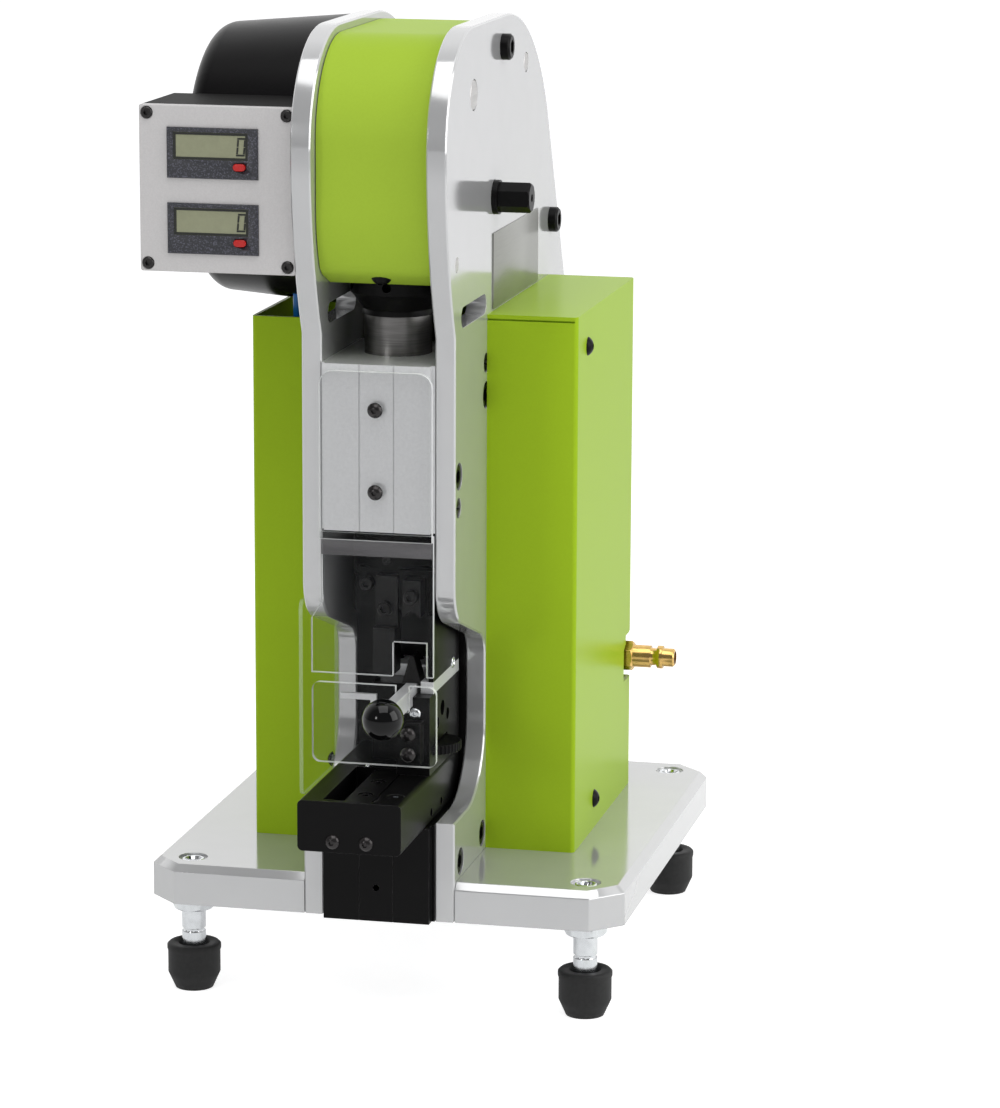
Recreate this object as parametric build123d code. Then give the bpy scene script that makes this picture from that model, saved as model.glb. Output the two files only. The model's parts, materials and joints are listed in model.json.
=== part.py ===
from build123d import *
import os
from math import asin, atan2, cos, degrees, hypot, radians, sin, sqrt

# Bench-top pneumatic crimping press, millimetres.
# The working frame has x = 0 in the mid-plane, y = 0 at the base's front edge and z = 0 under the base plates.
# Every solid is moved once, when it is saved: the origin then lies under the middle of the press.

# ---------------------------------------------------------------- driving dimensions
# base and feet
base_width = 240.0
base_depth = 260.0
base_thick = 20.0
base_corner = 15.0
base_edge = 3.5
foot_height = 47.0
foot_side_inset = 20.0
foot_inset = 17.5
stud_dia = 12.0
stud_socket = 6.0
jam_nut_flats = 19.0
jam_nut_thick = 6.0
pad_dia = 27.0
pad_height = 23.0
pad_foot_dia = 19.0

# C-shaped side plates
plate_gap = 56.0
plate_in = plate_gap / 2
plate_thick = 10.0
face_top = 289.0
head_height = 145.5
throat_floor = 50.0
throat_back = 66.5
throat_radius = 38.0
nose_height = 167.5
nose_radius = 22.0
throat_corner = 13.0
crown_front = 19.5
crown_radius = 57.0
rear_radius = 110.0
rear_centre_y = 112.0
rear_knee = face_top - 17.0
plate_edge = 0.8
slot_start = 12.0
slot_end = 66.0
slot_height = 10.0
slot_level = face_top + 8.0

# ram, guide and adjusting nut
stroke = 18.0
ram_y = 40.0
ram_dia = 44.0
neck_dia = 33.0
ram_low = 147.0
flat_top = ram_low + 25.0
ram_shoulder = face_top - 28.5
neck_top = face_top + 5.6
stem_dia = 16.0
adjust_travel = 0.75
block_low = flat_top + stroke + 4.0
block_top = face_top - 13.5
block_front = -3.5
block_rear = 76.0
nose_width = plate_gap - 3.2
nut_dia = 47.0
nut_cone = 8.0
nut_height = 28.0
lock_ring = 3.0
capstan_dia = 4.5
capstan_count = 6

# rocking drive
shaft_y = 84.0
shaft_z = face_top + 58.0
shaft_dia = 17.0
lever_arm = 44.0
lever_thick = 12.6
boss_dia = 30.0
eye_dia = 19.0
roller_dia = 14.0
roller_pin = 8.0
cheek_thick = 6.5
fork_depth = 26.0
hex_flats = 13.0
hex_length = 16.0
shaft_collar = 2.7
actuator_dia = 62.0
actuator_length = 50.0
drum_y = shaft_y + 22.0
drum_z = shaft_z + 14.0
drum_length = 71.0
drum_dia = 145.0
drum_taper = 6.0
drum_wall = 2.5
drum_round = 11.0

# sheet covers
sheet = 2.0
cover_front = 68.0
cover_depth = 145.0
cover_width = 45.5
right_cover_top = face_top + 2.0
left_cover_top = face_top - 3.0
left_cover_width = 44.0
bend = 2.2
hood_gap = 4.0
hood_front = 10.5
hood_radius = 48.5
hood_low = face_top + 29.0

# air inlet
plug_y = cover_front + cover_depth - 7.0
plug_z = 90.7
plug_flats = 14.0

# counter box
box_width = 77.0
box_height = 80.0
box_depth = 55.0
box_front = -10.0
box_low = hood_low
lid_thick = 4.0
box_wall = 3.0
bezel_width = 45.0
bezel_height = 24.3
bezel_level_upper = box_low + 57.4
bezel_level_lower = box_low + 21.2
bezel_offset = 2.0

# clear guards
guard_thick = 3.0
guard_joggle = 3.0
joggle_level = block_low - 4.0
side_guard_thick = 2.0
guard_width = plate_gap
guard_side_width = 5.0
guard_top = block_top - 3.0
guard_bottom = 123.0
side_guard_low = 59.7
side_guard_top = 157.3
low_guard_top = 120.0
low_guard_bottom = 80.0
low_guard_width = plate_gap + 6.0

# tooling and slide
bar_x = 14.0
bar_width = 6.0
bar_height = 9.3
bar_low = 107.7
bar_rear = 50.0
anvil_y = 15.0
anvil_depth = 9.6
anvil_tip = 130.5
knob_y = -47.0
knob_dia = 20.0
die_half = plate_in - 2.5
die_top = bar_low + 4.8
die_low = 87.0
wheel_dia = 28.0
wheel_thick = 4.5
wheel_y = 22.0
wheel_x = die_half - 3.5
trough_front = -58.0
trough_half = plate_in - 2.5
trough_low = throat_floor - 1.5
trough_top = trough_low + 25.0
trough_rear = 62.0
trough_floor = 10.0
column_half = plate_in - 1.4
column_front = -6.0

# clearances
run_fit = 0.05
face_gap = 0.3
seat_gap = 0.1
press_gap = 0.02

# derived places
plate_height = face_top + head_height
plate_out = plate_in + plate_thick
centre_y = (base_depth + trough_front) / 2
rear_centre_z = plate_height - rear_radius
crown_z = plate_height - crown_radius
lever_rise = degrees(asin(stroke / 2 / lever_arm))
roller_y = shaft_y - lever_arm * cos(radians(lever_rise))
roller_z = shaft_z + stroke / 2


# ---------------------------------------------------------------- shared shapes
def block(x0, x1, y0, y1, z0, z1):
    """A box between two corners."""
    return Pos((x0 + x1) / 2, (y0 + y1) / 2, (z0 + z1) / 2) * Box(x1 - x0, y1 - y0, z1 - z0)


def rod_x(x0, x1, y, z, dia):
    """A round bar across the press."""
    return Pos((x0 + x1) / 2, y, z) * Rot(0, 90, 0) * Cylinder(dia / 2, x1 - x0)


def rod_y(x, y0, y1, z, dia):
    return Pos(x, (y0 + y1) / 2, z) * Rot(90, 0, 0) * Cylinder(dia / 2, y1 - y0)


def rod_z(x, y, z0, z1, dia):
    return Pos(x, y, (z0 + z1) / 2) * Cylinder(dia / 2, z1 - z0)


def hex_z(flats, z0, z1):
    return extrude(Plane.XY.offset(z0) * RegularPolygon(flats / sqrt(3), 6), z1 - z0)


def cap_screw(dia, length, head_dia=None, head=None, socket=None):
    """A hexagon-socket screw on the z axis: the head stands on z = 0 and the shank hangs below."""
    head_dia = head_dia or 1.5 * dia + 1
    head = head or dia
    socket = socket or 0.8 * dia
    body = rod_z(0, 0, 0, head, head_dia) + rod_z(0, 0, -length, 0, dia)
    rim = body.edges().filter_by(GeomType.CIRCLE).group_by(Axis.Z)[-1]
    body = chamfer(rim, 0.08 * head_dia)
    return body - hex_z(socket, head * 0.45, head + 1)


def button_screw(dia, length, head_dia, head):
    """A low domed screw on the z axis."""
    dome = (head_dia ** 2 / 4 + head ** 2) / (2 * head)
    body = Pos(0, 0, head - dome) * Sphere(dome)
    body &= rod_z(0, 0, 0, head, head_dia)
    body += rod_z(0, 0, -length, 0, dia)
    return body - hex_z(0.6 * dia, head * 0.4, head + 1)


def face_right(x, y, z):
    """Places a z-axis piece so that it points to +x."""
    return Pos(x, y, z) * Rot(0, 90, 0)


def face_left(x, y, z):
    return Pos(x, y, z) * Rot(0, -90, 0)


def face_front(x, y, z):
    return Pos(x, y, z) * Rot(90, 0, 0)


def mirror_x(shape):
    return mirror(shape, about=Plane.YZ)


def across(sketch, x0, x1):
    """Extrudes an outline drawn in y and z from x0 to x1."""
    return extrude(Plane.YZ.offset(x0) * sketch, x1 - x0)


def tangent_corner(point, centre, radius):
    """The touching point of the upper tangent from a point in front of a circle's rear."""
    dy = point[0] - centre[0]
    dz = point[1] - centre[1]
    spread = hypot(dy, dz)
    angle = atan2(dz, dy) + (radians(90) - asin(radius / spread))
    return centre[0] + radius * cos(angle), centre[1] + radius * sin(angle), degrees(angle)


def rear_line(inset):
    """Rear of the frame's outline, moved inwards: knee point, touching point and its angle."""
    centre = (rear_centre_y, rear_centre_z)
    knee = (base_depth - inset, rear_knee)
    return knee, tangent_corner(knee, centre, rear_radius - inset)


def rear_y(z):
    """Depth of the frame's sloping back at a level."""
    knee, (touch_y, touch_z, _) = rear_line(0)
    return knee[0] + (touch_y - knee[0]) * (z - knee[1]) / (touch_z - knee[1])


# ---------------------------------------------------------------- side plates
back_bolt_inset = 20.8
crown_bolt = (rear_centre_y - 11.4, plate_height - 15.2)
back_bolt_z = rear_knee + 47.6
back_bolt = (rear_y(back_bolt_z) - back_bolt_inset, back_bolt_z)
head_pin = (38.0, plate_height - 33.0)
rear_pin = (rear_centre_y + 43.0, plate_height - 27.6)
rail_pin = (3.0, hood_low + 6.0)
block_screws = ((8.2, block_low + 26.9), (66.0, block_top - 24.2))
clamp_screw_places = ((7.4, block_low + 11.6), (66.0, block_top - 8.2))
column_screws = ((13.1, 27.9), (60.7, 29.4))
wall_screws = ((throat_back + 9.5, 60.0), (throat_back + 9.5, 160.0))
base_screw_ys = (40.0, base_depth / 2, base_depth - 40.0)
column_screw_length = 22.0
tie_bolt_dia = 8.0
head_pin_dia = 15.0
rear_pin_dia = 10.0
rail_pin_dia = 7.0
screw_dia = 8.0
screw_bore = 13.4
clamp_dia = 9.6
wall_screw_dia = 6.0
base_screw_dia = 8.0
side_guard_screw_places = ((28.0, side_guard_top - 6.8), (62.3, side_guard_low + 3.0))
guard_screw_dia = 4.0
guard_screw_hole = guard_screw_dia + 0.4
guard_screw_head = 7.6
guard_screw_reach = 6.0
bush_length = 8.0
bush_dia = 21.0
bush_flange = 25.0
bush_lip = 1.5


def plate_outline():
    """C-frame: straight foot, round throat, sloping nose, bulged head and a falling back."""
    knee, (touch_y, touch_z, touch_angle) = rear_line(0)
    slope = 18.4
    nose = CenterArc((nose_radius, nose_height), nose_radius, 180, 90 - slope)
    corner_y = throat_back - throat_corner
    corner_start = corner_y + throat_corner * sin(radians(slope))
    fall = (corner_start - (nose @ 1).X) * sin(radians(slope)) / cos(radians(slope))
    corner_z = (nose @ 1).Y - fall - throat_corner * cos(radians(slope))
    corner = CenterArc((corner_y, corner_z), throat_corner, 90 - slope, slope - 90)
    floor_y = throat_back - throat_radius
    throat = CenterArc((floor_y, throat_floor + throat_radius), throat_radius, 0, -90)
    rear = CenterArc((rear_centre_y, rear_centre_z), rear_radius, touch_angle, 90 - touch_angle)
    crown = CenterArc((crown_radius - crown_front, crown_z), crown_radius, 90, 90)
    lines = [
        Line((0, 0), (base_depth, 0)),
        Line((base_depth, 0), knee),
        Line(knee, (touch_y, touch_z)),
        rear,
        Line(rear @ 1, crown @ 0),
        crown,
        TangentArc(crown @ 1, (0, face_top), tangent=(0, -1)),
        Line((0, face_top), nose @ 0),
        nose,
        Line(nose @ 1, corner @ 0),
        corner,
        Line(corner @ 1, throat @ 0),
        throat,
        Line(throat @ 1, (0, throat_floor)),
        Line((0, throat_floor), (0, 0)),
    ]
    return make_face(Wire(lines))


def side_plate():
    """Right plate; the left one is its mirror image."""
    plate = across(plate_outline(), plate_in, plate_out)
    for side in (0, -1):
        rim = plate.faces().sort_by(Axis.X)[side].outer_wire().edges()
        plate = chamfer(rim, plate_edge)
    slot_y = (slot_start + slot_end) / 2
    slot = SlotOverall(slot_end - slot_start, slot_height)
    plate -= across(Pos(slot_y, slot_level) * slot, plate_in - 1, plate_out + 1)
    for y, z in (crown_bolt, back_bolt):
        plate -= rod_x(plate_in - 1, plate_out + 1, y, z, tie_bolt_dia + 2 * seat_gap)
    for (y, z), dia in ((head_pin, head_pin_dia), (rear_pin, rear_pin_dia), (rail_pin, rail_pin_dia)):
        plate -= rod_x(plate_in - 1, plate_out + 1, y, z, dia + 2 * seat_gap)
    for y, z in block_screws + column_screws:
        plate -= rod_x(plate_in - 1, plate_out + 1, y, z, screw_dia + 2 * seat_gap)
        plate -= rod_x(plate_out - screw_dia, plate_out + 1, y, z, screw_bore)
    for y, z in clamp_screw_places:
        plate -= rod_x(plate_in - 1, plate_out + 1, y, z, clamp_dia + 2 * seat_gap)
    for y, z in wall_screws:
        plate -= rod_x(plate_in - 1, plate_out + 1, y, z, wall_screw_dia + 2 * seat_gap)
    for y in base_screw_ys:
        plate -= rod_x(plate_in - 1, plate_out + 1, y, base_thick / 2, base_screw_dia + 2 * seat_gap)
        plate -= rod_x(plate_in - 1, plate_in + plate_thick / 2, y, base_thick / 2, screw_bore)
    plate -= rod_x(plate_in - 1, plate_out + 1, shaft_y, shaft_z, shaft_dia + 4 * run_fit)
    plate -= rod_x(plate_in - 1, plate_in + bush_length, shaft_y, shaft_z, bush_dia)
    return plate


def left_plate():
    """The mirror image, with two tapped holes more for the side guard."""
    plate = mirror_x(side_plate())
    for y, z in side_guard_screw_places:
        depth = guard_screw_reach + 2
        plate -= rod_x(-plate_out - 1, -plate_out + depth, y, z, guard_screw_dia + 2 * seat_gap)
    for y, z in drum_screw_places():
        depth = drum_screw_reach + 1
        plate -= rod_x(-plate_out - 1, -plate_out + depth, y, z, drum_screw_dia + 2 * seat_gap)
    return plate


def shaft_bushes():
    """Flanged plain bushes, pressed in from the inner faces of both plates."""
    bush = rod_x(plate_in, plate_in + bush_length, shaft_y, shaft_z, bush_dia)
    bush += rod_x(plate_in - bush_lip, plate_in, shaft_y, shaft_z, bush_flange)
    bush -= rod_x(plate_in - 5, plate_out + 1, shaft_y, shaft_z, shaft_dia + 2 * run_fit)
    return [bush, mirror_x(bush)]


# ---------------------------------------------------------------- base and feet
base_screw_reach = 16.0
pad_foot = 4.0
pad_taper = 8.0
pad_bore = 16.0


def base_half():
    """Right base plate: chamfered outer corners and a bevelled top rim."""
    half = base_width / 2
    outline = Polyline(
        (plate_out, 0),
        (half - base_corner, 0),
        (half, base_corner),
        (half, base_depth - base_corner),
        (half - base_corner, base_depth),
        (plate_out, base_depth),
        close=True,
    )
    plate = extrude(make_face(outline), base_thick)
    rim = plate.faces().sort_by(Axis.Z)[-1].outer_wire().edges()
    rim = [e for e in rim if e.center().X > plate_out + base_edge]
    plate = chamfer(rim, base_edge)
    for x, y in foot_places():
        if x > 0:
            plate -= rod_z(x, y, -1, base_thick + 1, stud_dia + 2 * seat_gap)
            plate -= rod_z(x, y, base_thick - 1.5, base_thick + 1, stud_dia + 2.5)
    for y in base_screw_ys:
        bore = base_screw_dia + 2 * seat_gap
        plate -= rod_x(plate_out - 1, plate_out + base_screw_reach, y, base_thick / 2, bore)
    return plate


def foot_places():
    half = base_width / 2 - foot_side_inset
    rear = base_depth - foot_inset
    return [(-half, foot_inset), (half, foot_inset), (half, rear), (-half, rear)]


def foot_studs():
    """Threaded studs with a hexagon socket in the upper end."""
    stud_low = -foot_height + pad_foot
    studs = []
    for x, y in foot_places():
        stud = rod_z(x, y, stud_low, base_thick - 0.6, stud_dia)
        stud = chamfer(stud.edges().filter_by(GeomType.CIRCLE), 0.8)
        stud -= Pos(x, y, 0) * hex_z(stud_socket, base_thick - 6, base_thick)
        stud -= groove_ring(x, y, -18.0, stud_dia)
        studs.append(stud)
    return studs


def groove_ring(x, y, z, dia):
    """The run-out groove below a stud's thread."""
    return rod_z(x, y, z, z + 2, dia + 1) - rod_z(x, y, z - 1, z + 3, dia - 1.6)


def foot_nuts():
    nuts = []
    for x, y in foot_places():
        nut = hex_z(jam_nut_flats, -jam_nut_thick, 0)
        nut &= cone_ends(jam_nut_flats / sqrt(3) * 2 - 0.6, -jam_nut_thick, 0, 1.2)
        nut -= rod_z(0, 0, -jam_nut_thick - 1, 1, stud_dia + 2 * seat_gap)
        nuts.append(Pos(x, y, 0) * nut)
    return nuts


def cone_ends(dia, z0, z1, bevel):
    """A cylinder with both rims bevelled, to round the corners of a hexagon."""
    return chamfer(rod_z(0, 0, z0, z1, dia).edges().filter_by(GeomType.CIRCLE), bevel)


def rubber_feet():
    """Cup-shaped rubber pads, narrower where they stand on the bench."""
    top = -foot_height + pad_height
    half = pad_dia / 2
    profile = Polyline(
        (0, -foot_height),
        (pad_foot_dia / 2, -foot_height),
        (half - 0.4, -foot_height + pad_taper),
        (half - 0.4, top - 4),
        (half, top - 3),
        (half, top - 1),
        (half - 1, top),
        (pad_bore / 2, top),
        (pad_bore / 2, top - 7),
        (stud_dia / 2 + seat_gap, top - 7),
        (stud_dia / 2 + seat_gap, -foot_height + pad_foot - seat_gap),
        (0, -foot_height + pad_foot - seat_gap),
        close=True,
    )
    pad = revolve(Plane.XZ * make_face(profile), Axis.Z)
    return [Pos(x, y, 0) * pad for x, y in foot_places()]


# ---------------------------------------------------------------- between the plates
column_rear = 64.0
groove_x = 8.5
column_hole_z = 17.0
column_hole_dia = 3.3
column_hole_depth = 12.0
spacer_thick = 18.0
wall_thick = 15.0
wall_top = block_low - 0.3
low_head = 4.8


def front_column():
    """Black pillar under the slide, with two shallow grooves down its face."""
    column = block(-plate_in, plate_in, 0, column_rear, 0, trough_low)
    column += block(-column_half, column_half, column_front, 0.5, 0, trough_low)
    for x in (-groove_x, groove_x):
        column -= block(x - 0.2, x + 0.2, column_front - 1, column_front + 0.4, -1, trough_low + 1)
    column -= rod_y(0, column_front - 1, column_front + column_hole_depth, column_hole_z, column_hole_dia)
    for y, z in column_screws:
        column -= rod_x(-plate_in - 1, plate_in + 1, y, z, screw_dia + 2 * seat_gap)
    return column


def base_spacer():
    """Cross bar that carries the rear wall and closes the floor between the base plates."""
    spacer = block(-plate_in, plate_in, column_rear + 1, base_depth - 2, 0, spacer_thick)
    for y in base_screw_ys:
        for x in (-plate_in, plate_in):
            spacer -= rod_x(x - 9.5, x + 9.5, y, base_thick / 2, screw_bore + 1)
    return spacer


def rear_wall():
    """Upright wall behind the ram, screwed between the side plates."""
    wall = block(-plate_in, plate_in, throat_back, throat_back + wall_thick, spacer_thick, wall_top)
    for y, z in wall_screws:
        wall -= rod_x(-plate_in - 1, plate_in + 1, y, z, wall_screw_dia + 2 * seat_gap)
    return wall


def tie_rods():
    """Round spacers on the long bolts through the head of the frame."""
    rods = []
    for y, z in (crown_bolt, back_bolt):
        rod = rod_x(-plate_in, plate_in, y, z, 18)
        rod -= rod_x(-plate_in - 1, plate_in + 1, y, z, tie_bolt_dia + 2 * seat_gap)
        rods.append(rod)
    return rods


def tie_bolts():
    """Cap screws from the right and cap nuts' heads on the left, one pair for each round spacer."""
    bolts = []
    for y, z in (crown_bolt, back_bolt):
        screw = cap_screw(tie_bolt_dia, plate_thick + 20, 13, low_head)
        bolts.append(face_right(plate_out, y, z) * screw)
        bolts.append(face_left(-plate_out, y, z) * screw)
    return bolts


def head_pins():
    """Flush ground pins that locate the two plates, and the hood's rail pin."""
    pins = []
    for (y, z), dia in ((head_pin, head_pin_dia), (rear_pin, rear_pin_dia)):
        pin = rod_x(-plate_out, plate_out, y, z, dia)
        pins.append(chamfer(pin.edges().filter_by(GeomType.CIRCLE), 0.7))
    return pins


def hood_rail():
    """Cross rail inside the hood's lip, with the lug that takes the hood's screw."""
    rail = rod_x(-plate_out, plate_out, *rail_pin, rail_pin_dia)
    lug = block(-4, 4, rail_pin[0] + 0.5, rail_pin[0] + 8, hood_low + 1, rail_pin[1] + 2)
    lip_face = across(lip_backing(), -10, 10)
    return rail + (lug - lip_face)


def plate_screws():
    """Counterbored cap screws through the side plates into the guide block and the front column."""
    screws = []
    block_length = plate_thick - screw_dia + block_screw_reach - 1.5
    places = [(y, z, block_length) for y, z in block_screws]
    places += [(y, z, column_screw_length) for y, z in column_screws]
    for y, z, length in places:
        screw = cap_screw(screw_dia, length, 13, screw_dia - 0.5)
        screws.append(face_right(plate_out - screw_dia, y, z) * screw)
        screws.append(face_left(screw_dia - plate_out, y, z) * screw)
    return screws


def clamp_plugs():
    """Slotted set screws that take up the guide block's side play."""
    plugs = []
    for y, z in clamp_screw_places:
        plug = rod_x(plate_in, plate_out - 0.6, y, z, clamp_dia)
        plug -= block(plate_out - 2.4, plate_out, y - 6, y + 6, z - 0.8, z + 0.8)
        plugs += [plug, mirror_x(plug)]
    return plugs


def wall_bolts():
    """Screws that hold the rear wall, hidden by the sheet covers."""
    screws = []
    screw = cap_screw(wall_screw_dia, plate_thick + 12)
    for y, z in wall_screws:
        screws.append(face_right(plate_out, y, z) * screw)
        screws.append(face_left(-plate_out, y, z) * screw)
    return screws


def base_bolts():
    """Screws from inside the frame into the edges of both base plates."""
    bolts = []
    screw = cap_screw(base_screw_dia, plate_thick / 2 + base_screw_reach - 2, 13, 8)
    for y in base_screw_ys[1:]:
        z = base_thick / 2
        bolts.append(face_left(plate_in + plate_thick / 2, y, z) * screw)
        bolts.append(face_right(-plate_in - plate_thick / 2, y, z) * screw)
    return bolts


# ---------------------------------------------------------------- guide block, ram and nut
guard_screw_zs = (block_top - 21.5, block_low + 20.0)
block_screw_reach = 13.0
flat_y = ram_y - 12.0
stem_depth = 46.0
ram_screw_places = ((-1.0, ram_low + 5.0), (-11.5, ram_low + 16.0), (bar_x, ram_low + 13.0))
capstan_depth = 9.0


def guide_block():
    """Guide bush housing between the plates; its nose stands proud of them."""
    body = block(-plate_in, plate_in, 0, block_rear, block_low, block_top)
    body += block(-nose_width / 2, nose_width / 2, block_front, 0.5, block_low, block_top)
    for x in (-groove_x, groove_x):
        body -= block(x - 0.35, x + 0.35, block_front - 1, block_front + 0.6, block_low - 1, block_top + 1)
    shoulder = ram_shoulder + adjust_travel + 0.75
    body -= rod_z(0, ram_y, block_low - 1, shoulder, ram_dia + 2 * run_fit)
    body -= rod_z(0, ram_y, shoulder - 1, block_top + 1, neck_dia + 2 * run_fit)
    for z in guard_screw_zs:
        reach = block_front + guard_screw_reach + 2
        body -= rod_y(0, block_front - 1, reach, z, guard_screw_dia + 2 * seat_gap)
    for y, z in block_screws:
        for x in (-plate_in, plate_in):
            body -= rod_x(x - block_screw_reach, x + block_screw_reach, y, z, screw_dia + 2 * seat_gap)
    return body


def ram():
    """Round ram: guided neck, full body, parting groove and a front flat for the tool holder."""
    groove = flat_top - 6
    body = rod_z(0, ram_y, ram_low, ram_shoulder, ram_dia)
    body = chamfer(body.edges().filter_by(GeomType.CIRCLE), 1.0)
    body += rod_z(0, ram_y, ram_shoulder - 1, neck_top, neck_dia)
    ring = rod_z(0, ram_y, groove, groove + 1.5, ram_dia + 1)
    body -= ring - rod_z(0, ram_y, groove - 1, groove + 3, ram_dia - 2)
    body -= block(-ram_dia, ram_dia, ram_y - ram_dia, flat_y, ram_low - 1, flat_top)
    body -= rod_z(0, ram_y, neck_top - stem_depth, neck_top + 1, stem_dia + 4 * run_fit)
    for x, z in ram_screw_places:
        body -= rod_y(x, flat_y - 1, flat_y + 9, z, 4.2)
    return body


def adjusting_nut():
    """Capstan nut with a conical underside and pin holes round its rim."""
    low = neck_top + lock_ring
    half = nut_dia / 2
    small = neck_dia / 2 + 1
    profile = Polyline(
        (stem_dia / 2 + run_fit, low),
        (small, low),
        (half - 1.5, low + nut_cone - 1.5),
        (half, low + nut_cone),
        (half, low + nut_height - 1),
        (half - 1, low + nut_height),
        (stem_dia / 2 + run_fit, low + nut_height),
        close=True,
    )
    nut = Pos(0, ram_y, 0) * revolve(Plane.XZ * make_face(profile), Axis.Z)
    hole_z = low + nut_cone + 4.0
    for i in range(capstan_count):
        turn = Pos(0, ram_y, hole_z) * Rot(0, 0, 360 / capstan_count * (i + 0.5))
        nut -= turn * Pos(half, 0, 0) * Rot(0, 90, 0) * Cylinder(capstan_dia / 2, 2 * capstan_depth)
    return nut


def nut_ring():
    """Black ring that keeps the nut and the ram's neck together."""
    ring = rod_z(0, ram_y, neck_top, neck_top + lock_ring, neck_dia + 1.6)
    return ring - rod_z(0, ram_y, neck_top - 1, neck_top + lock_ring + 1, stem_dia + 4 * run_fit)


def spindle():
    """Threaded stem under a fork; the drive rollers run in level windows in its cheeks."""
    half_x = lever_thick / 2 + face_gap + cheek_thick
    fork_low = neck_top + lock_ring + nut_height + adjust_travel + 0.5
    fork_top = roller_z + roller_dia / 2 + 8
    depth = fork_depth / 2
    body = block(-half_x, half_x, ram_y - depth, ram_y + depth, fork_low, fork_top)
    body = fillet(body.edges().filter_by(Axis.X).group_by(Axis.Z)[-1], 5)
    body += rod_z(0, ram_y, neck_top - stem_depth + adjust_travel + 2, fork_low + 1, stem_dia)
    gap = lever_thick / 2 + face_gap
    throat_low = roller_z - stroke - eye_dia / 2 + 6
    body -= block(-gap, gap, ram_y - depth - 1, ram_y + depth + 1, throat_low, fork_top + 1)
    window = SlotOverall(roller_dia + 5, roller_dia + 4 * run_fit)
    body -= across(Pos((ram_y + roller_y) / 2, roller_z) * window, -half_x - 1, half_x + 1)
    return body


# ---------------------------------------------------------------- rocking drive
drum_screw_dia = 5.0
drum_screw_reach = 8.0
drum_screw_pitch = drum_dia / 2 - 22.5
drum_screw_angles = (60, 170, 285)


def drive_shaft():
    """Cross shaft: hexagon for a spanner on the right, journals, and a long left end for the actuator."""
    shaft = rod_x(-plate_out - actuator_length + 6, plate_out + shaft_collar, shaft_y, shaft_z, shaft_dia)
    tip_x = plate_out + shaft_collar
    hexagon = hex_z(hex_flats, 0, hex_length)
    hexagon &= cone_ends(hex_flats / sqrt(3) * 2, -2, hex_length, 1.0)
    shaft += face_right(tip_x, shaft_y, shaft_z) * hexagon
    shaft -= rod_x(tip_x + hex_length - 6, tip_x + hex_length + 1, shaft_y, shaft_z, 4)
    return shaft


def rocker_lever():
    """Tapered arm: boss on the shaft, eye at the roller pin, joined by tangent flanks."""
    arm = make_hull(
        (Pos(shaft_y, shaft_z) * Circle(boss_dia / 2)).edges()
        + (Pos(roller_y, roller_z) * Circle(eye_dia / 2)).edges()
    )
    lever = across(arm, -lever_thick / 2, lever_thick / 2)
    lever -= rod_x(-lever_thick, lever_thick, shaft_y, shaft_z, shaft_dia + 2 * press_gap)
    lever -= rod_x(-lever_thick, lever_thick, roller_y, roller_z, roller_pin + 2 * seat_gap)
    return lever


def drive_rollers():
    """A pair of rollers on one pin, one each side of the lever."""
    half = lever_thick / 2 + face_gap
    pin = rod_x(-half - cheek_thick + 0.5, half + cheek_thick - 0.5, roller_y, roller_z, roller_pin)
    rollers = [pin]
    for side in (-1, 1):
        x0, x1 = sorted((side * (half + 0.2), side * (half + cheek_thick - 1.5)))
        roller = rod_x(x0, x1, roller_y, roller_z, roller_dia)
        roller -= rod_x(x0 - 1, x1 + 1, roller_y, roller_z, roller_pin + 2 * seat_gap)
        rollers.append(roller)
    return rollers


def rotary_actuator():
    """Air-driven swing actuator on the left plate; its rotor holds the shaft's end."""
    x1 = -plate_out
    x0 = x1 - actuator_length
    body = rod_x(x0, x1, shaft_y, shaft_z, actuator_dia)
    body -= rod_x(x0 + 4, x1 + 1, shaft_y, shaft_z, shaft_dia + 2 * run_fit)
    for i in range(4):
        turn = radians(45 + 90 * i)
        y = shaft_y + (actuator_dia / 2 - 5) * cos(turn)
        z = shaft_z + (actuator_dia / 2 - 5) * sin(turn)
        body -= rod_x(x0 - 1, x0 + 4, y, z, 5)
    return body


def drum_cover():
    """Conical moulded cover with a rounded closed end, open towards the plate."""
    half = drum_dia / 2
    end = half - drum_taper
    outer = [(0, 0), (half, 0), (end, drum_length), (0, drum_length)]
    shell = revolve(Plane.XZ * make_face(Polyline(*outer, close=True)), Axis.Z)
    shell = fillet(shell.edges().filter_by(GeomType.CIRCLE).sort_by(Axis.Z)[-1], drum_round)
    inner = [(0, -1), (half - drum_wall, -1), (end - drum_wall, drum_length - drum_wall),
             (0, drum_length - drum_wall)]
    hollow = revolve(Plane.XZ * make_face(Polyline(*inner, close=True)), Axis.Z)
    hollow = fillet(hollow.edges().filter_by(GeomType.CIRCLE).sort_by(Axis.Z)[-1], drum_round - drum_wall)
    shell -= hollow
    shell = face_left(-plate_out, drum_y, drum_z) * shell
    for y, z in drum_screw_places():
        end = -plate_out - drum_length
        shell -= rod_x(end - 1, end + 5, y, z, drum_screw_dia + 0.3)
    shell -= rod_z(hose_x, hose_y, drum_z - half - 5, drum_z - half + 25, hose_dia + 6)
    return shell


def drum_screws():
    """Three long screws through the closed end into the plate, each in a spacer tube."""
    screws = []
    for y, z in drum_screw_places():
        screw = button_screw(drum_screw_dia, drum_length + drum_screw_reach, 9.5, 2.8)
        screws.append(face_left(-plate_out - drum_length, y, z) * screw)
    return screws


def drum_screw_places():
    places = []
    for angle in drum_screw_angles:
        turn = radians(angle)
        places.append((drum_y + drum_screw_pitch * cos(turn), drum_z + drum_screw_pitch * sin(turn)))
    return places


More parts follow.
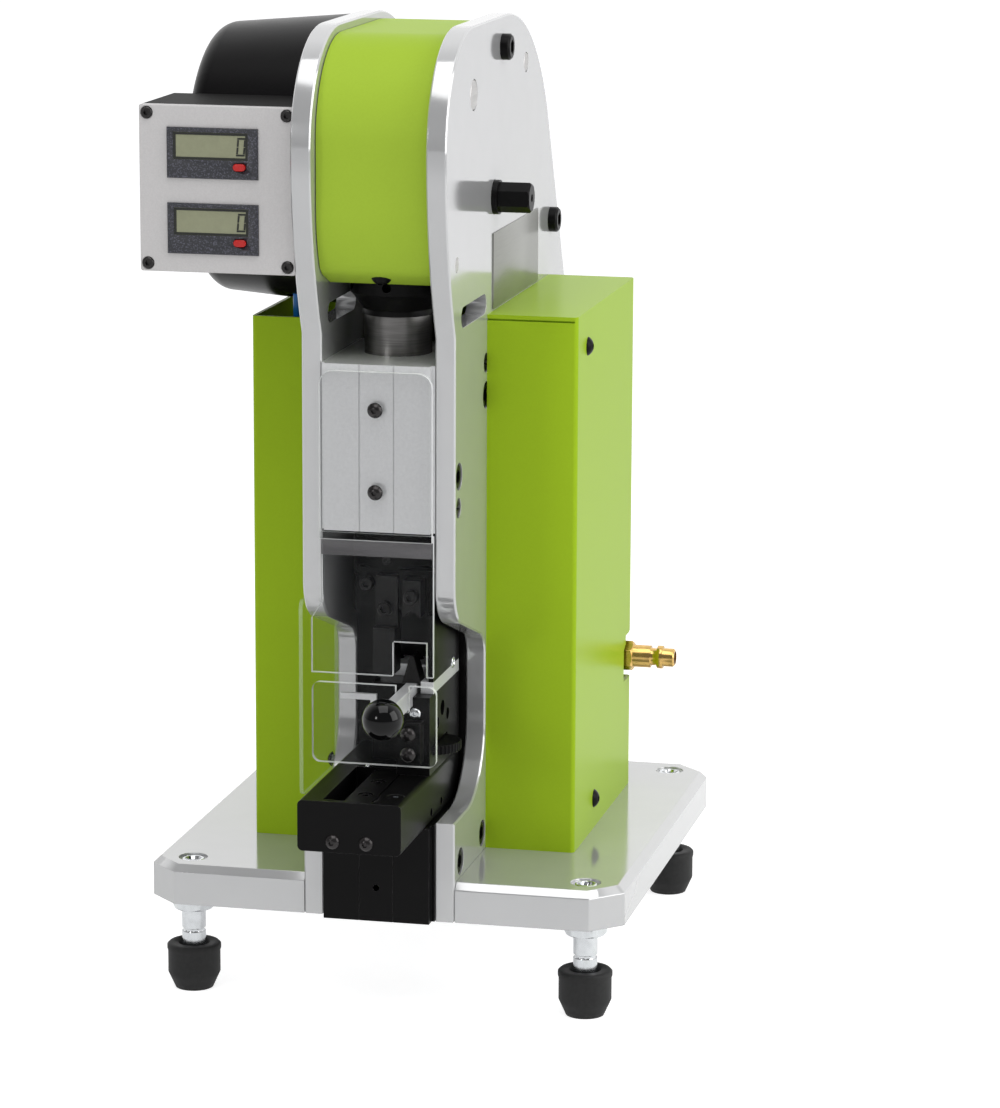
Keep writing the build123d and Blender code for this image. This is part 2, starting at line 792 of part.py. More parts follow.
# ---------------------------------------------------------------- hood and rear cover
lip_depth = 15.0
lip_drop = 6.0
rear_cover_screw_zs = (60.0, rear_knee - 52.0)


def hood_path(inset):
    """Centre-plane outline of the hood: front bulge, crown, level top and rear arc."""
    radius = hood_radius - inset
    centre_y_hood = hood_radius - hood_front
    centre_z_hood = plate_height - hood_gap - hood_radius
    crown = CenterArc((centre_y_hood, centre_z_hood), radius, 90, 90)
    _, (_, _, angle) = rear_line(hood_gap)
    rear = CenterArc((rear_centre_y, rear_centre_z), rear_radius - hood_gap - inset, angle, 90 - angle)
    return crown, rear


def top_hood():
    """Bent green sheet between the plates, from its lip over the head to the rear seam."""
    outer_crown, outer_rear = hood_path(0)
    inner_crown, inner_rear = hood_path(sheet)
    lip_y = -3.6
    bulge = hood_low + 32
    outer = [
        Line(outer_rear @ 1, outer_crown @ 0),
        outer_crown,
        Line(outer_crown @ 1, (-hood_front, bulge)),
        TangentArc((-hood_front, bulge), (lip_y, hood_low + 3), tangent=(0, -1)),
        Line((lip_y, hood_low + 3), (0, hood_low)),
        Line((0, hood_low), lip_end(0)),
        Line(lip_end(0), lip_end(sheet)),
        Line(lip_end(sheet), (1.2, hood_low + sheet)),
        Line((1.2, hood_low + sheet), (lip_y + sheet, hood_low + 4.4)),
        TangentArc((-hood_front + sheet, bulge), (lip_y + sheet, hood_low + 4.4), tangent=(0, -1)),
        Line((-hood_front + sheet, bulge), inner_crown @ 1),
        inner_crown,
        Line(inner_crown @ 0, inner_rear @ 1),
        inner_rear,
        Line(inner_rear @ 0, outer_rear @ 0),
        outer_rear,
    ]
    hood = across(make_face(Wire(outer)), -plate_in + face_gap, plate_in - face_gap)
    y, z = lip_middle()
    tilt = degrees(atan2(lip_drop, lip_depth))
    return hood - Pos(0, y, z) * Rot(-tilt, 0, 0) * Cylinder(2.6, 12)


def lip_end(rise):
    slope = atan2(lip_drop, lip_depth)
    return lip_depth + rise * sin(slope), hood_low - lip_drop + rise * cos(slope)


def lip_middle():
    return lip_depth * 0.42, hood_low - lip_drop * 0.42


def lip_backing():
    """The region below the lip's inner face, used to trim what stands on the lip."""
    return make_face(Polyline(
        (-20, hood_low + sheet + 8.4),
        (1.2, hood_low + sheet),
        lip_end(sheet + 0.02),
        (40, hood_low - 15),
        (-20, hood_low - 15),
        close=True,
    ))


def hood_screw():
    y, z = lip_middle()
    tilt = degrees(atan2(lip_drop, lip_depth))
    return Pos(0, y, z) * Rot(-tilt, 0, 0) * Rot(180, 0, 0) * button_screw(5, sheet, 9.5, 2.8)


def rear_cover():
    """Sheet that closes the back between the plates, below the hood's rear seam."""
    knee, (touch_y, touch_z, angle) = rear_line(hood_gap)
    knee_in, (in_y, in_z, _) = rear_line(hood_gap + sheet)
    step = 1.5
    start = (touch_y + step * sin(radians(angle)), touch_z - step * cos(radians(angle)))
    start_in = (in_y + step * sin(radians(angle)), in_z - step * cos(radians(angle)))
    outline = Polyline(
        start,
        knee,
        (knee[0], spacer_thick + 0.2),
        (knee_in[0], spacer_thick + 0.2),
        (knee_in[0], knee_in[1] - 0.5),
        start_in,
        close=True,
    )
    cover = across(make_face(outline), -plate_in + face_gap, plate_in - face_gap)
    for z in rear_cover_screw_zs:
        cover -= rod_y(0, base_depth - 20, base_depth, z, cover_screw_hole)
    return cover


def rear_brackets():
    """Two cross bars that carry the rear cover."""
    bars = []
    for z in rear_cover_screw_zs:
        y1 = base_depth - hood_gap - sheet
        bar = block(-plate_in, plate_in, y1 - 10, y1, z - 6, z + 6)
        bars.append(bar - rod_y(0, y1 - 11, y1 + 1, z, cover_screw_hole))
    return bars


def rear_cover_screws():
    y = base_depth - hood_gap
    screw = button_screw(cover_screw_dia, cover_screw_length + 1, 9.5, 2.6)
    return [Pos(0, y, z) * Rot(-90, 0, 0) * screw for z in rear_cover_screw_zs]


# ---------------------------------------------------------------- side covers
flap_gap = 0.9
plug_notch_depth = 18.0
plug_notch_half = 12.0
low_cover_screw = (118.4, base_thick + 15.4)
right_cover_screw_places = ((93.8, right_cover_top - 18.0), low_cover_screw)
left_cover_screw_places = ((180.0, left_cover_top - 24.0), low_cover_screw)
cover_screw_dia = 5.0
cover_screw_hole = cover_screw_dia + 2 * seat_gap
cover_screw_length = 9.0


def right_cover():
    """Closed sheet box on the right: folded front, side and rear walls under a lipped top."""
    x1 = plate_out + cover_width
    y1 = cover_front + cover_depth
    top = right_cover_top
    body = block(plate_out, x1, cover_front, y1, base_thick, top)
    edges = body.edges().filter_by(Axis.Z).group_by(Axis.X)[-1]
    body = fillet(edges, bend)
    body -= block(plate_out - 1, x1 - sheet, cover_front + sheet, y1 - sheet, base_thick - 1, top - sheet)
    seam = top - sheet
    flap_end = x1 - 0.8 * sheet
    body -= block(plate_out - 1, flap_end, cover_front - 1, cover_front + 1.5, seam - flap_gap, seam)
    notch_y = y1 - plug_notch_depth
    low = plug_z - plug_notch_half
    high = plug_z + plug_notch_half
    body -= block(x1 - 18, x1 + 1, notch_y + 5, y1 + 1, low, high)
    slanted = Polyline(
        (y1 + 1, high + 2), (y1, high + 2), (notch_y, high - 7), (notch_y, low), (y1 + 1, low), close=True)
    body -= across(make_face(slanted), x1 - sheet - 1, x1 + 1)
    for y, z in right_cover_screw_places:
        body -= rod_x(x1 - 5, x1 + 1, y, z, cover_screw_hole)
    return body


def left_cover():
    """Open-topped sheet box on the left, for the valve and the air hoses."""
    x0 = -plate_out - left_cover_width
    y1 = cover_front + cover_depth
    body = block(x0, -plate_out, cover_front, y1, base_thick, left_cover_top)
    edges = body.edges().filter_by(Axis.Z).group_by(Axis.X)[0]
    body = fillet(edges, bend)
    rear = y1 - sheet
    body -= block(x0 + sheet, -plate_out + 1, cover_front + sheet, rear, base_thick - 1, left_cover_top + 1)
    for y, z in left_cover_screw_places:
        body -= rod_x(x0 - 1, x0 + 5, y, z, cover_screw_hole)
    return body


def cover_standoffs():
    """Round spacers between the plates and the covers' side walls."""
    posts = []
    for y, z in right_cover_screw_places:
        posts.append(rod_x(plate_out, plate_out + cover_width - sheet, y, z, 10))
    for y, z in left_cover_screw_places:
        posts.append(rod_x(-plate_out - left_cover_width + sheet, -plate_out, y, z, 10))
    drilled = []
    for post in posts:
        side = 1 if post.center().X > 0 else -1
        end = plate_out + (cover_width if side > 0 else left_cover_width) - sheet
        x0, x1 = sorted((side * (end - cover_screw_length), side * (end + 1)))
        drilled.append(post - rod_x(x0, x1, post.center().Y, post.center().Z, cover_screw_hole))
    return drilled


def cover_screws():
    screw = button_screw(cover_screw_dia, cover_screw_length, 9.5, 2.8)
    right = [face_right(plate_out + cover_width, y, z) * screw for y, z in right_cover_screw_places]
    left = [face_left(-plate_out - left_cover_width, y, z) * screw for y, z in left_cover_screw_places]
    return right + left


# ---------------------------------------------------------------- air supply
inlet_x = plate_out + cover_width - 7.5
inlet_half = 11.0
plug_thread = 9.6
hose_dia = 4.0
hose_x = -plate_out - actuator_length / 2
hose_y = shaft_y
valve_top = left_cover_top - 60.0
valve_width = 30.0
valve_length = 70.0
valve_height = 34.0
manifold_width = 16.0
solenoid_height = 22.0
fitting_dia = 9.0
fitting_reach = 9.0
plug_hex_end = inlet_x + 10.9
plug_tip = plug_hex_end + 22.0
plug_nose_dia = 9.7
valve_port_y = hose_y + 20.0


def inlet_block():
    """Drilled block that carries the air plug behind the right cover's notch."""
    rear = cover_front + cover_depth - sheet - 0.2
    body = block(plate_out, inlet_x, plug_y - inlet_half, rear, plug_z - inlet_half, plug_z + inlet_half)
    return body - rod_x(inlet_x - 12, inlet_x + 1, plug_y, plug_z, plug_thread + 2 * seat_gap)


def air_plug():
    """Brass quick-coupling plug: thread, hexagon, stem, catch groove, bead and nose."""
    steps = [
        (inlet_x - 10, plug_thread),
        (inlet_x + 3, plug_thread),
        (plug_hex_end, 11.8),
        (plug_hex_end + 9.1, 9.2),
        (plug_hex_end + 12.8, 12.2),
        (plug_hex_end + 15.6, plug_nose_dia),
    ]
    ends = [x for x, _ in steps[1:]] + [plug_tip]
    body = None
    for (x0, dia), x1 in zip(steps, ends):
        part = rod_x(x0, x1, plug_y, plug_z, dia)
        body = part if body is None else body + part
    rim = body.edges().filter_by(GeomType.CIRCLE).sort_by(Axis.X)[-1]
    body = chamfer(rim, 0.9)
    hexagon = hex_z(plug_flats, 0, plug_hex_end - inlet_x)
    hexagon &= cone_ends(plug_flats / sqrt(3) * 2 - 0.4, 0, plug_hex_end - inlet_x, 1.0)
    body += face_right(inlet_x, plug_y, plug_z) * hexagon
    return body - rod_x(inlet_x - 11, plug_tip + 1, plug_y, plug_z, 6.5)


def valve_block():
    """Control valve inside the left cover, with a manifold foot and a solenoid."""
    x1 = -plate_out
    y0 = valve_port_y - 15
    y1 = y0 + valve_length
    step = valve_top - 6
    body = block(x1 - valve_width, x1, y0, y1, step - valve_height, step)
    foot_x = hose_x - 1
    body += block(foot_x, foot_x + manifold_width, y0 + 4, y0 + valve_length / 2, step - 0.5, valve_top)
    body += block(foot_x, x1 - 4, y1 - 29, y1 - 5, step - 0.5, valve_top + solenoid_height)
    return body - rod_z(hose_x, valve_port_y, valve_top - fitting_reach - 1, valve_top + 1, 2 * hose_dia)


def push_fittings():
    """Push-in fittings at both ends of the hose."""
    top = actuator_low()
    upper = rod_z(hose_x, hose_y, top - fitting_reach, top - 0.2, fitting_dia)
    upper += block(hose_x - 4, hose_x + 4, hose_y - 4, hose_y + 4, top - 3, top + 1.5)
    upper -= rod_x(hose_x - 6, hose_x + 6, shaft_y, shaft_z, actuator_dia + 2 * seat_gap)
    upper -= rod_z(hose_x, hose_y, top - fitting_reach - 1, top - 3, hose_dia + 2 * seat_gap)
    lower = rod_z(hose_x, valve_port_y, valve_top - fitting_reach, valve_top, 2 * hose_dia - 2 * seat_gap)
    lower += rod_z(hose_x, valve_port_y, valve_top, valve_top + 7, fitting_dia)
    lower -= rod_z(hose_x, valve_port_y, valve_top - 2, valve_top + 8, hose_dia + 2 * seat_gap)
    return [upper, lower]


def actuator_low():
    return shaft_z - actuator_dia / 2


def air_hose():
    """Blue hose from the actuator, out under the drum and down to the valve."""
    top = actuator_low() - 3.2
    route = [
        (hose_x, hose_y, top),
        (hose_x, hose_y, top - 32),
        (hose_x, valve_port_y, top - 58),
        (hose_x, valve_port_y, valve_top - 1.8),
    ]
    path = FilletPolyline(*route, radius=24)
    return sweep(Plane(route[0], z_dir=(0, 0, -1)) * Circle(hose_dia / 2), path=path)


# ---------------------------------------------------------------- counter box
box_right = -plate_out
box_left = box_right - box_width
box_rear = box_front + box_depth
box_top = box_low + box_height
lid_screw_inset = 3.9
case_round = 1.2
lid_screw_dia = 3.0
lid_screw_length = 14.0
lid_screw_sink = 2.0
cut_width = bezel_width - 4.0
cut_height = bezel_height - 3.8
counter_depth = 22.0
bezel_x = (box_left + box_right) / 2 - bezel_offset
button_x = bezel_x + 13.5
button_drop = 6.3
button_width = 6.2
button_height = 3.4
window_width = 37.0
window_height = 13.2
window_x = bezel_x - 0.8
window_rise = 3.4


def lid_screw_places():
    xs = (box_left + lid_screw_inset, box_right - lid_screw_inset)
    zs = (box_low + lid_screw_inset, box_top - lid_screw_inset)
    return [(x, z) for x in xs for z in zs]


def counter_case():
    """Cast case behind the lid, with a screw pillar in each corner."""
    y0 = box_front + lid_thick
    case = block(box_left, box_right, y0, box_rear, box_low, box_top)
    case = fillet(case.edges().filter_by(Axis.Y), case_round)
    hollow = block(box_left + box_wall, box_right - box_wall, y0 - 1, box_rear - box_wall,
                   box_low + box_wall, box_top - box_wall)
    case -= hollow - relief(box_wall)
    for x, z in lid_screw_places():
        pillar = rod_y(x, y0, box_rear - 1, z, 8)
        case += pillar & block(box_left, box_right, y0, box_rear, box_low, box_top)
        case -= rod_y(x, y0 - 1, y0 + lid_screw_length, z, lid_screw_dia + 2 * seat_gap)
    return case - relief(0)


def relief(wall):
    """Room for the drum behind the case, or that room with a wall round it."""
    half = drum_dia / 2 + face_gap + wall
    cone = Cone(half, half - drum_taper, drum_length)
    cone += Pos(0, 0, drum_length / 2 + 5) * Cylinder(half - drum_taper, 10)
    return face_left(-plate_out, drum_y, drum_z) * Pos(0, 0, drum_length / 2) * cone


def counter_lid():
    """Lid with rounded rims and a cut-out for each counter."""
    y1 = box_front + lid_thick
    lid = block(box_left, box_right, box_front, y1, box_low, box_top)
    lid = fillet(lid.edges().filter_by(Axis.Y), case_round)
    lid = chamfer(lid.faces().sort_by(Axis.Y)[0].outer_wire().edges(), 0.4)
    lid -= block(box_left + box_wall + 4, box_right - box_wall - 4, box_front + box_wall, y1 + 1,
                 box_low + box_wall + 4, box_top - box_wall - 4)
    for z in (bezel_level_upper, bezel_level_lower):
        lid -= block(bezel_x - cut_width / 2, bezel_x + cut_width / 2, box_front - 1, y1,
                     z - cut_height / 2, z + cut_height / 2)
    for x, z in lid_screw_places():
        lid -= rod_y(x, box_front - 1, y1 + 1, z, lid_screw_dia + 0.4)
        lid -= rod_y(x, box_front - 1, box_front + lid_screw_sink, z, 6.2)
    return lid


def lid_screws():
    screw = cap_screw(lid_screw_dia, lid_screw_length, 5.6, 3)
    return [face_front(x, box_front + lid_screw_sink, z) * screw for x, z in lid_screw_places()]


def counter(level):
    """Snap-in counter: bezel, body behind the lid, window recess and a button hole."""
    body = block(bezel_x - bezel_width / 2, bezel_x + bezel_width / 2, box_front - 1.4, box_front,
                 level - bezel_height / 2, level + bezel_height / 2)
    body = chamfer(body.faces().sort_by(Axis.Y)[0].outer_wire().edges(), 0.5)
    half_w = cut_width / 2 - seat_gap
    half_h = cut_height / 2 - seat_gap
    rear = box_front + counter_depth
    body += block(bezel_x - half_w, bezel_x + half_w, box_front - 0.5, rear, level - half_h, level + half_h)
    wz = level + window_rise
    body -= block(window_x - window_width / 2, window_x + window_width / 2, box_front - 2, box_front - 0.4,
                  wz - window_height / 2, wz + window_height / 2)
    bz = level - button_drop
    hole = SlotOverall(button_width + 2 * face_gap, button_height + 2 * face_gap)
    body -= Pos(button_x, box_front, bz) * Rot(90, 0, 0) * extrude(hole, 3, both=True)
    return body


def display(level):
    """Glass of the counter's display, set in its window."""
    wz = level + window_rise
    gap = seat_gap
    half_w = window_width / 2 - gap
    half_h = window_height / 2 - gap
    face = box_front - 0.8
    return block(window_x - half_w, window_x + half_w, face, face + 0.4, wz - half_h, wz + half_h)


def reset_button(level):
    """Oval push button that stands a little proud of the bezel."""
    cap = extrude(SlotOverall(button_width, button_height), 2.0)
    cap = chamfer(cap.faces().sort_by(Axis.Z)[-1].outer_wire().edges(), 0.3)
    return Pos(button_x, box_front - 0.3, level - button_drop) * Rot(90, 0, 0) * cap


# ---------------------------------------------------------------- guards
guard_back = block_front - seat_gap
guard_face = guard_back - guard_thick
notch_left = bar_x - 6.1
notch_right = die_half - 1.0
notch_top = 140.0
shoulder_low = 150.0
shoulder_top = 158.0
low_guard_back = -7.0
low_guard_screw_zs = (low_guard_bottom + 16.1, low_guard_bottom + 6.1)
low_guard_screw_x = die_half - 8.5
angle_x0 = -17.5
angle_x1 = 0.6
angle_top = 114.6
angle_bar = 3.0
angle_low = 98.0
angle_thick = 2.0
side_guard_out = -plate_out - seat_gap - side_guard_thick


def upper_guard():
    """Clear front guard: rounded top, joggled back below the guide block, notched over the die."""
    half = guard_width / 2
    side = -half - guard_side_width
    upper = make_face(Polyline(
        (-half, guard_top), (half, guard_top), (half, joggle_level), (-half, joggle_level), close=True))
    upper = fillet([v for v in upper.vertices() if v.Y > guard_top - 1], 7)
    lower = make_face(Polyline(
        (-half, joggle_level + guard_thick), (half, joggle_level + guard_thick), (half, guard_bottom),
        (notch_right, guard_bottom), (notch_right, notch_top), (notch_left, notch_top),
        (notch_left, guard_bottom), (side, guard_bottom), (side, shoulder_low), (-half, shoulder_top),
        close=True))
    guard = guard_sheet(upper, guard_back) + guard_sheet(lower, guard_back + guard_joggle)
    ramp = guard_thick * 0.45
    step = Polyline(
        (guard_face - 1, joggle_level - 1), (guard_face - 1, joggle_level),
        (guard_face, joggle_level), (guard_face + ramp, joggle_level - 1),
        close=True)
    guard -= across(make_face(step), -half - 1, half + 1)
    for z in guard_screw_zs:
        guard -= rod_y(0, guard_face - 1, guard_back + 1, z, guard_screw_hole)
    return guard


def guard_sheet(face, back):
    """Extrudes an outline in x and z into a sheet whose rear face is at the given depth."""
    return Pos(0, back, 0) * extrude(Plane.XZ * face, guard_thick)


def lower_guard():
    """Clear plate round the slide bar, with an open slot for it."""
    middle = (low_guard_top + low_guard_bottom) / 2
    plate = RectangleRounded(low_guard_width, low_guard_top - low_guard_bottom, 4)
    slot_low = bar_low - 0.7
    slot_top = low_guard_top + 5
    slot = Pos(bar_x, (slot_low + slot_top) / 2) * Rectangle(bar_width + 2 * face_gap, slot_top - slot_low)
    guard = guard_sheet(Pos(0, middle) * plate - slot, low_guard_back)
    for z in low_guard_screw_zs:
        front = low_guard_back - guard_thick
        guard -= rod_y(low_guard_screw_x, front - 1, low_guard_back + 1, z, guard_screw_hole)
    return guard


def guard_angle():
    """Bright L-shaped flat bar that stiffens the lower guard's rear face."""
    front = low_guard_back + seat_gap
    rear = front + angle_thick
    bar = block(angle_x0, angle_x1, front, rear, angle_top - angle_bar, angle_top)
    return bar + block(angle_x1 - angle_bar, angle_x1, front, rear, angle_low, angle_top)


def side_guard():
    """Clear sheet over the throat, on the left plate's outer face."""
    rear = cover_front - 0.5
    outline = make_face(Polyline(
        (0, side_guard_low), (rear, side_guard_low), (rear, side_guard_top), (0, side_guard_top),
        close=True))
    outline = fillet([v for v in outline.vertices() if v.X < 1], 4)
    sheet_body = across(outline, side_guard_out, side_guard_out + side_guard_thick)
    for y, z in side_guard_screw_places:
        sheet_body -= rod_x(side_guard_out - 1, -plate_out + 1, y, z, guard_screw_hole)
    return sheet_body


def side_guard_screws():
    screw = button_screw(guard_screw_dia, side_guard_thick + guard_screw_reach, guard_screw_head, 2.2)
    return [face_left(side_guard_out, y, z) * screw for y, z in side_guard_screw_places]


def guard_screws():
    screw = button_screw(guard_screw_dia, guard_thick + guard_screw_reach + 1, guard_screw_head, 2.4)
    screws = [face_front(0, guard_face, z) * screw for z in guard_screw_zs]
    low_front = low_guard_back - guard_thick
    return screws + [face_front(low_guard_screw_x, low_front, z) * screw for z in low_guard_screw_zs]


# ---------------------------------------------------------------- tooling on the ram
holder_step = flat_y - 4.0
holder_face = flat_y - 7.8
holder_x0 = -16.0
holder_x1 = 22.0
holder_low = ram_low + 4
holder_high = flat_top - 1
punch_half = 4.5
punch_y0 = 10.0
punch_high = flat_top - 4.0
punch_low = anvil_tip + stroke + adjust_travel + 0.75
finger_x0 = -6.0
finger_x1 = 5.0
finger_y0 = 12.0
finger_y1 = 18.0
finger_low = 119.5
finger_high = flat_top - 4.0


def tool_holder():
    """Stepped plate on the ram's flat: the punch sits on its high side, the finger on its low side."""
    body = block(holder_x0, holder_x1, holder_face, flat_y, holder_low, holder_high)
    wing = finger_x1 + seat_gap
    body -= block(holder_x0 - 1, wing, holder_face - 1, holder_step, holder_low - 1, holder_high + 1)
    for x, z in ram_screw_places:
        body -= rod_y(x, holder_face - 1, flat_y + 1, z, 4.4)
    return body


def crimp_punch():
    """Punch with a twin-lobed forming groove and a flared mouth in its lower end."""
    body = block(bar_x - punch_half, bar_x + punch_half, punch_y0, holder_face, punch_low, punch_high)
    for x in (bar_x - 1.1, bar_x + 1.1):
        body -= rod_y(x, punch_y0 - 1, holder_face + 1, punch_low + 1.0, 2.6)
    mouth = Polyline(
        (bar_x - 3.6, punch_low - 0.1), (bar_x + 3.6, punch_low - 0.1), (bar_x + 1.9, punch_low + 1.4),
        (bar_x - 1.9, punch_low + 1.4), close=True)
    body -= Pos(0, holder_face + 1, 0) * extrude(Plane.XZ * make_face(mouth), holder_face - punch_y0 + 2)
    x, z = ram_screw_places[2]
    return body - rod_y(x, punch_y0 - 1, holder_face + 1, z, 4.4)


def hold_down():
    """Wire hold-down finger: a thin shank on the holder and a deeper foot beside the anvil."""
    body = block(finger_x0, finger_x1, finger_y1, holder_step, finger_low, finger_high)
    body += block(finger_x0, finger_x1, finger_y0, finger_y1 + 0.5, finger_low, 143.0)
    body = fillet(body.edges().filter_by(Axis.Y).group_by(Axis.Z)[0], 2)
    x, z = ram_screw_places[0]
    return body - rod_y(x, finger_y0, holder_step + 1, z, 4.4)


def tool_screws():
    """Screws through the finger, the holder's wing and the punch into the ram."""
    screws = []
    for (x, z), face in zip(ram_screw_places, (finger_y1, holder_step, punch_y0)):
        screws.append(face_front(x, face, z) * cap_screw(4, flat_y + 8 - face, 7, 4))
    return screws


# ---------------------------------------------------------------- slide and die carrier
die_left = bar_x - 5.0
die_wing = -10.0
die_wing_y = 27.0
die_front = 0.0
die_base_top = 81.5
die_side_holes = ((27.0, die_top - 11.0, 8.0), (17.0, die_top - 16.5, 6.0), (38.0, die_top - 16.5, 6.0))
strip_top = bar_low + bar_height + 1.5
strip_x0 = bar_x + 5.0
cheek_x0 = die_half - 2.5
cheek_top = 152.0
keeper_y0 = 44.0
wheel_flutes = 40
wheel_pin = 5.0
die_screw_xs = (-5.0, 5.0)
die_screw_y = 57.0
wall_screw_place = (18.9, -41.6)
end_plate = 4.0
channel_rear = 10.0
channel_left = -13.7
channel_right = 11.2
rail_left = -3.7
rail_right = 9.5
front_screw_x = 8.25
front_screw_z = trough_low + 5.1
trough_side_holes = ((3.9, trough_low + 5.7, 4.2), (24.8, trough_low + 6.0, 4.2))
rail_screw_ys = (-38.6, -14.0)
rail_screw_x = 3.2
rail_screw_sink = 3.6


def slide_bar():
    """Flat steel bar that carries the anvil; its front end is turned down for the knob."""
    half = bar_width / 2
    body = block(bar_x - half, bar_x + half, knob_y + 8, bar_rear, bar_low, bar_low + bar_height)
    body = chamfer(body.edges().filter_by(Axis.Y), 0.4)
    return body + rod_y(bar_x, knob_y, knob_y + 9, bar_low + bar_height / 2, 6)


def ball_knob():
    z = bar_low + bar_height / 2
    knob = Pos(bar_x, knob_y, z) * Sphere(knob_dia / 2)
    knob -= block(bar_x - 12, bar_x + 12, knob_y + 8, knob_y + 12, z - 12, z + 12)
    return knob - rod_y(bar_x, knob_y - seat_gap, knob_y + 12, z, 6 + 2 * seat_gap)


def anvil():
    """Tapered anvil with a rounded crown, standing on the bar."""
    base = bar_low + bar_height
    half = 4.7
    tip = 1.3
    shoulder = anvil_tip - tip
    left = Line((bar_x - half, base), (bar_x - tip, shoulder))
    crown = ThreePointArc((bar_x - tip, shoulder), (bar_x, anvil_tip), (bar_x + tip, shoulder))
    right = Line((bar_x + tip, shoulder), (bar_x + half, base))
    face = make_face(Wire([left, crown, right, Line((bar_x + half, base), (bar_x - half, base))]))
    return Pos(0, anvil_y + anvil_depth / 2, 0) * extrude(Plane.XZ * face, anvil_depth)


def die_block():
    """Lower die carrier: groove for the bar, wing behind the finger and a bay for the wheel."""
    body = block(die_left, die_half, die_front, trough_rear, trough_top, die_top)
    body += block(die_wing, die_half, die_wing_y, trough_rear, trough_top, die_top)
    tongue_low = low_guard_bottom + 1
    tongue_top = low_guard_screw_zs[0] + 5
    tongue_front = low_guard_back + seat_gap
    body += block(die_left + 3, die_half - 3, tongue_front, die_front + 1, tongue_low, tongue_top)
    groove = bar_width / 2 + run_fit
    floor = bar_low - run_fit
    body -= block(bar_x - groove, bar_x + groove, die_front - 9, trough_rear + 1, floor, die_top + 1)
    bay = wheel_dia / 2 + 1.5
    body -= block(wheel_x - bay, die_half + 1, wheel_y - bay, wheel_y + bay, die_base_top, die_low)
    body += rod_z(wheel_x, wheel_y, die_base_top - 1, die_low + 1, wheel_pin)
    for z in low_guard_screw_zs:
        reach = low_guard_back + guard_screw_reach + 2
        body -= rod_y(low_guard_screw_x, low_guard_back - 1, reach, z, guard_screw_dia + 2 * seat_gap)
    for x in die_screw_xs:
        body -= rod_z(x, die_screw_y, die_top - 8, die_top + 1, 4.2)
    for y, z, dia in die_side_holes:
        body -= rod_x(die_half - 7, die_half + 1, y, z, dia)
    return body


def thumb_wheel():
    """Fluted adjusting wheel in the die carrier's bay."""
    z0 = die_base_top + face_gap
    wheel = rod_z(wheel_x, wheel_y, z0, z0 + wheel_thick, wheel_dia)
    wheel = chamfer(wheel.edges().filter_by(GeomType.CIRCLE), 0.5)
    for i in range(wheel_flutes):
        turn = Pos(wheel_x, wheel_y, z0) * Rot(0, 0, 360 / wheel_flutes * i)
        wheel -= turn * Pos(wheel_dia / 2 + 0.4, 0, 0) * Cylinder(0.9, 3 * wheel_thick)
    return wheel - rod_z(wheel_x, wheel_y, z0 - 1, z0 + wheel_thick + 1, wheel_pin + 2 * run_fit)


def clamp_plate():
    """Bright steel plate: a strip beside the bar and a bridge over the bar's rear end."""
    body = block(strip_x0, die_half, die_front + 8, trough_rear, die_top, strip_top)
    body += block(die_wing, strip_x0 + 1, keeper_y0, trough_rear, die_top, strip_top)
    tunnel = bar_width / 2 + run_fit + seat_gap
    for x in die_screw_xs:
        body -= rod_z(x, die_screw_y, die_top - 1, strip_top + 1, 4.4)
    return body - block(bar_x - tunnel, bar_x + tunnel, keeper_y0 - 1, trough_rear + 1, die_top - 1,
                        bar_low + bar_height + run_fit)


def die_cheek():
    """Dark side cheek above the strip, beside the ram."""
    cheek = block(cheek_x0, die_half, die_front + 8, trough_rear, strip_top, cheek_top)
    return fillet(cheek.edges().filter_by(Axis.X).group_by(Axis.Z)[-1], 3)


def die_screws():
    """Screws that hold the steel plate down beside the bar."""
    screw = button_screw(4, 12, 7.6, 2.2)
    return [Pos(x, die_screw_y, strip_top) * screw for x in die_screw_xs]


def slide_trough():
    """Machined trough: two side walls and a front plate round an open channel."""
    floor = trough_low + trough_floor
    body = block(-trough_half, trough_half, trough_front, trough_rear, trough_low, trough_top)
    body = fillet(body.edges().filter_by(Axis.Y), 2.5)
    channel_front = trough_front + end_plate
    body -= block(channel_left, channel_right, channel_front, channel_rear, floor, trough_top + 1)
    for x in (-front_screw_x, front_screw_x):
        body -= rod_y(x, trough_front - 1, trough_front + 8, front_screw_z, 4.2)
    for y, z, dia in trough_side_holes:
        body -= rod_x(trough_half - 7, trough_half + 1, y, z, dia)
    for y in rail_screw_ys:
        body -= rod_z(rail_screw_x, y, trough_low + 3, floor + 1, 4.2)
    x, y = wall_screw_place
    body -= rod_z(x, y, trough_top - 12, trough_top + 1, 4.2)
    return body - Pos(x, y, trough_top - 1.1) * Cone(2.1, 4.3, 2.2)


def wall_screw():
    """Countersunk screw, flush with the right wall's top."""
    x, y = wall_screw_place
    head = Pos(0, 0, -1.2) * Cone(2.0, 4.0, 2.2) + rod_z(0, 0, -10, -2.0, 4)
    return Pos(x, y, trough_top) * (head - hex_z(2.5, -1.6, 1))


def centre_rail():
    """Rail screwed to the trough's floor, with a level ledge and a lead-in at the front."""
    floor = trough_low + trough_floor
    front = trough_front + end_plate + 0.2
    body = block(rail_left, rail_right, front, channel_rear - 0.2, floor, trough_top - 0.6)
    front_edge = body.edges().filter_by(Axis.X).group_by(Axis.Y)[0].sort_by(Axis.Z)[-1]
    body = chamfer(front_edge, 2)
    for y in rail_screw_ys:
        body -= rod_z(rail_screw_x, y, floor - 1, trough_top, 4.4)
        body -= rod_z(rail_screw_x, y, trough_top - rail_screw_sink, trough_top, 7.8)
    return body


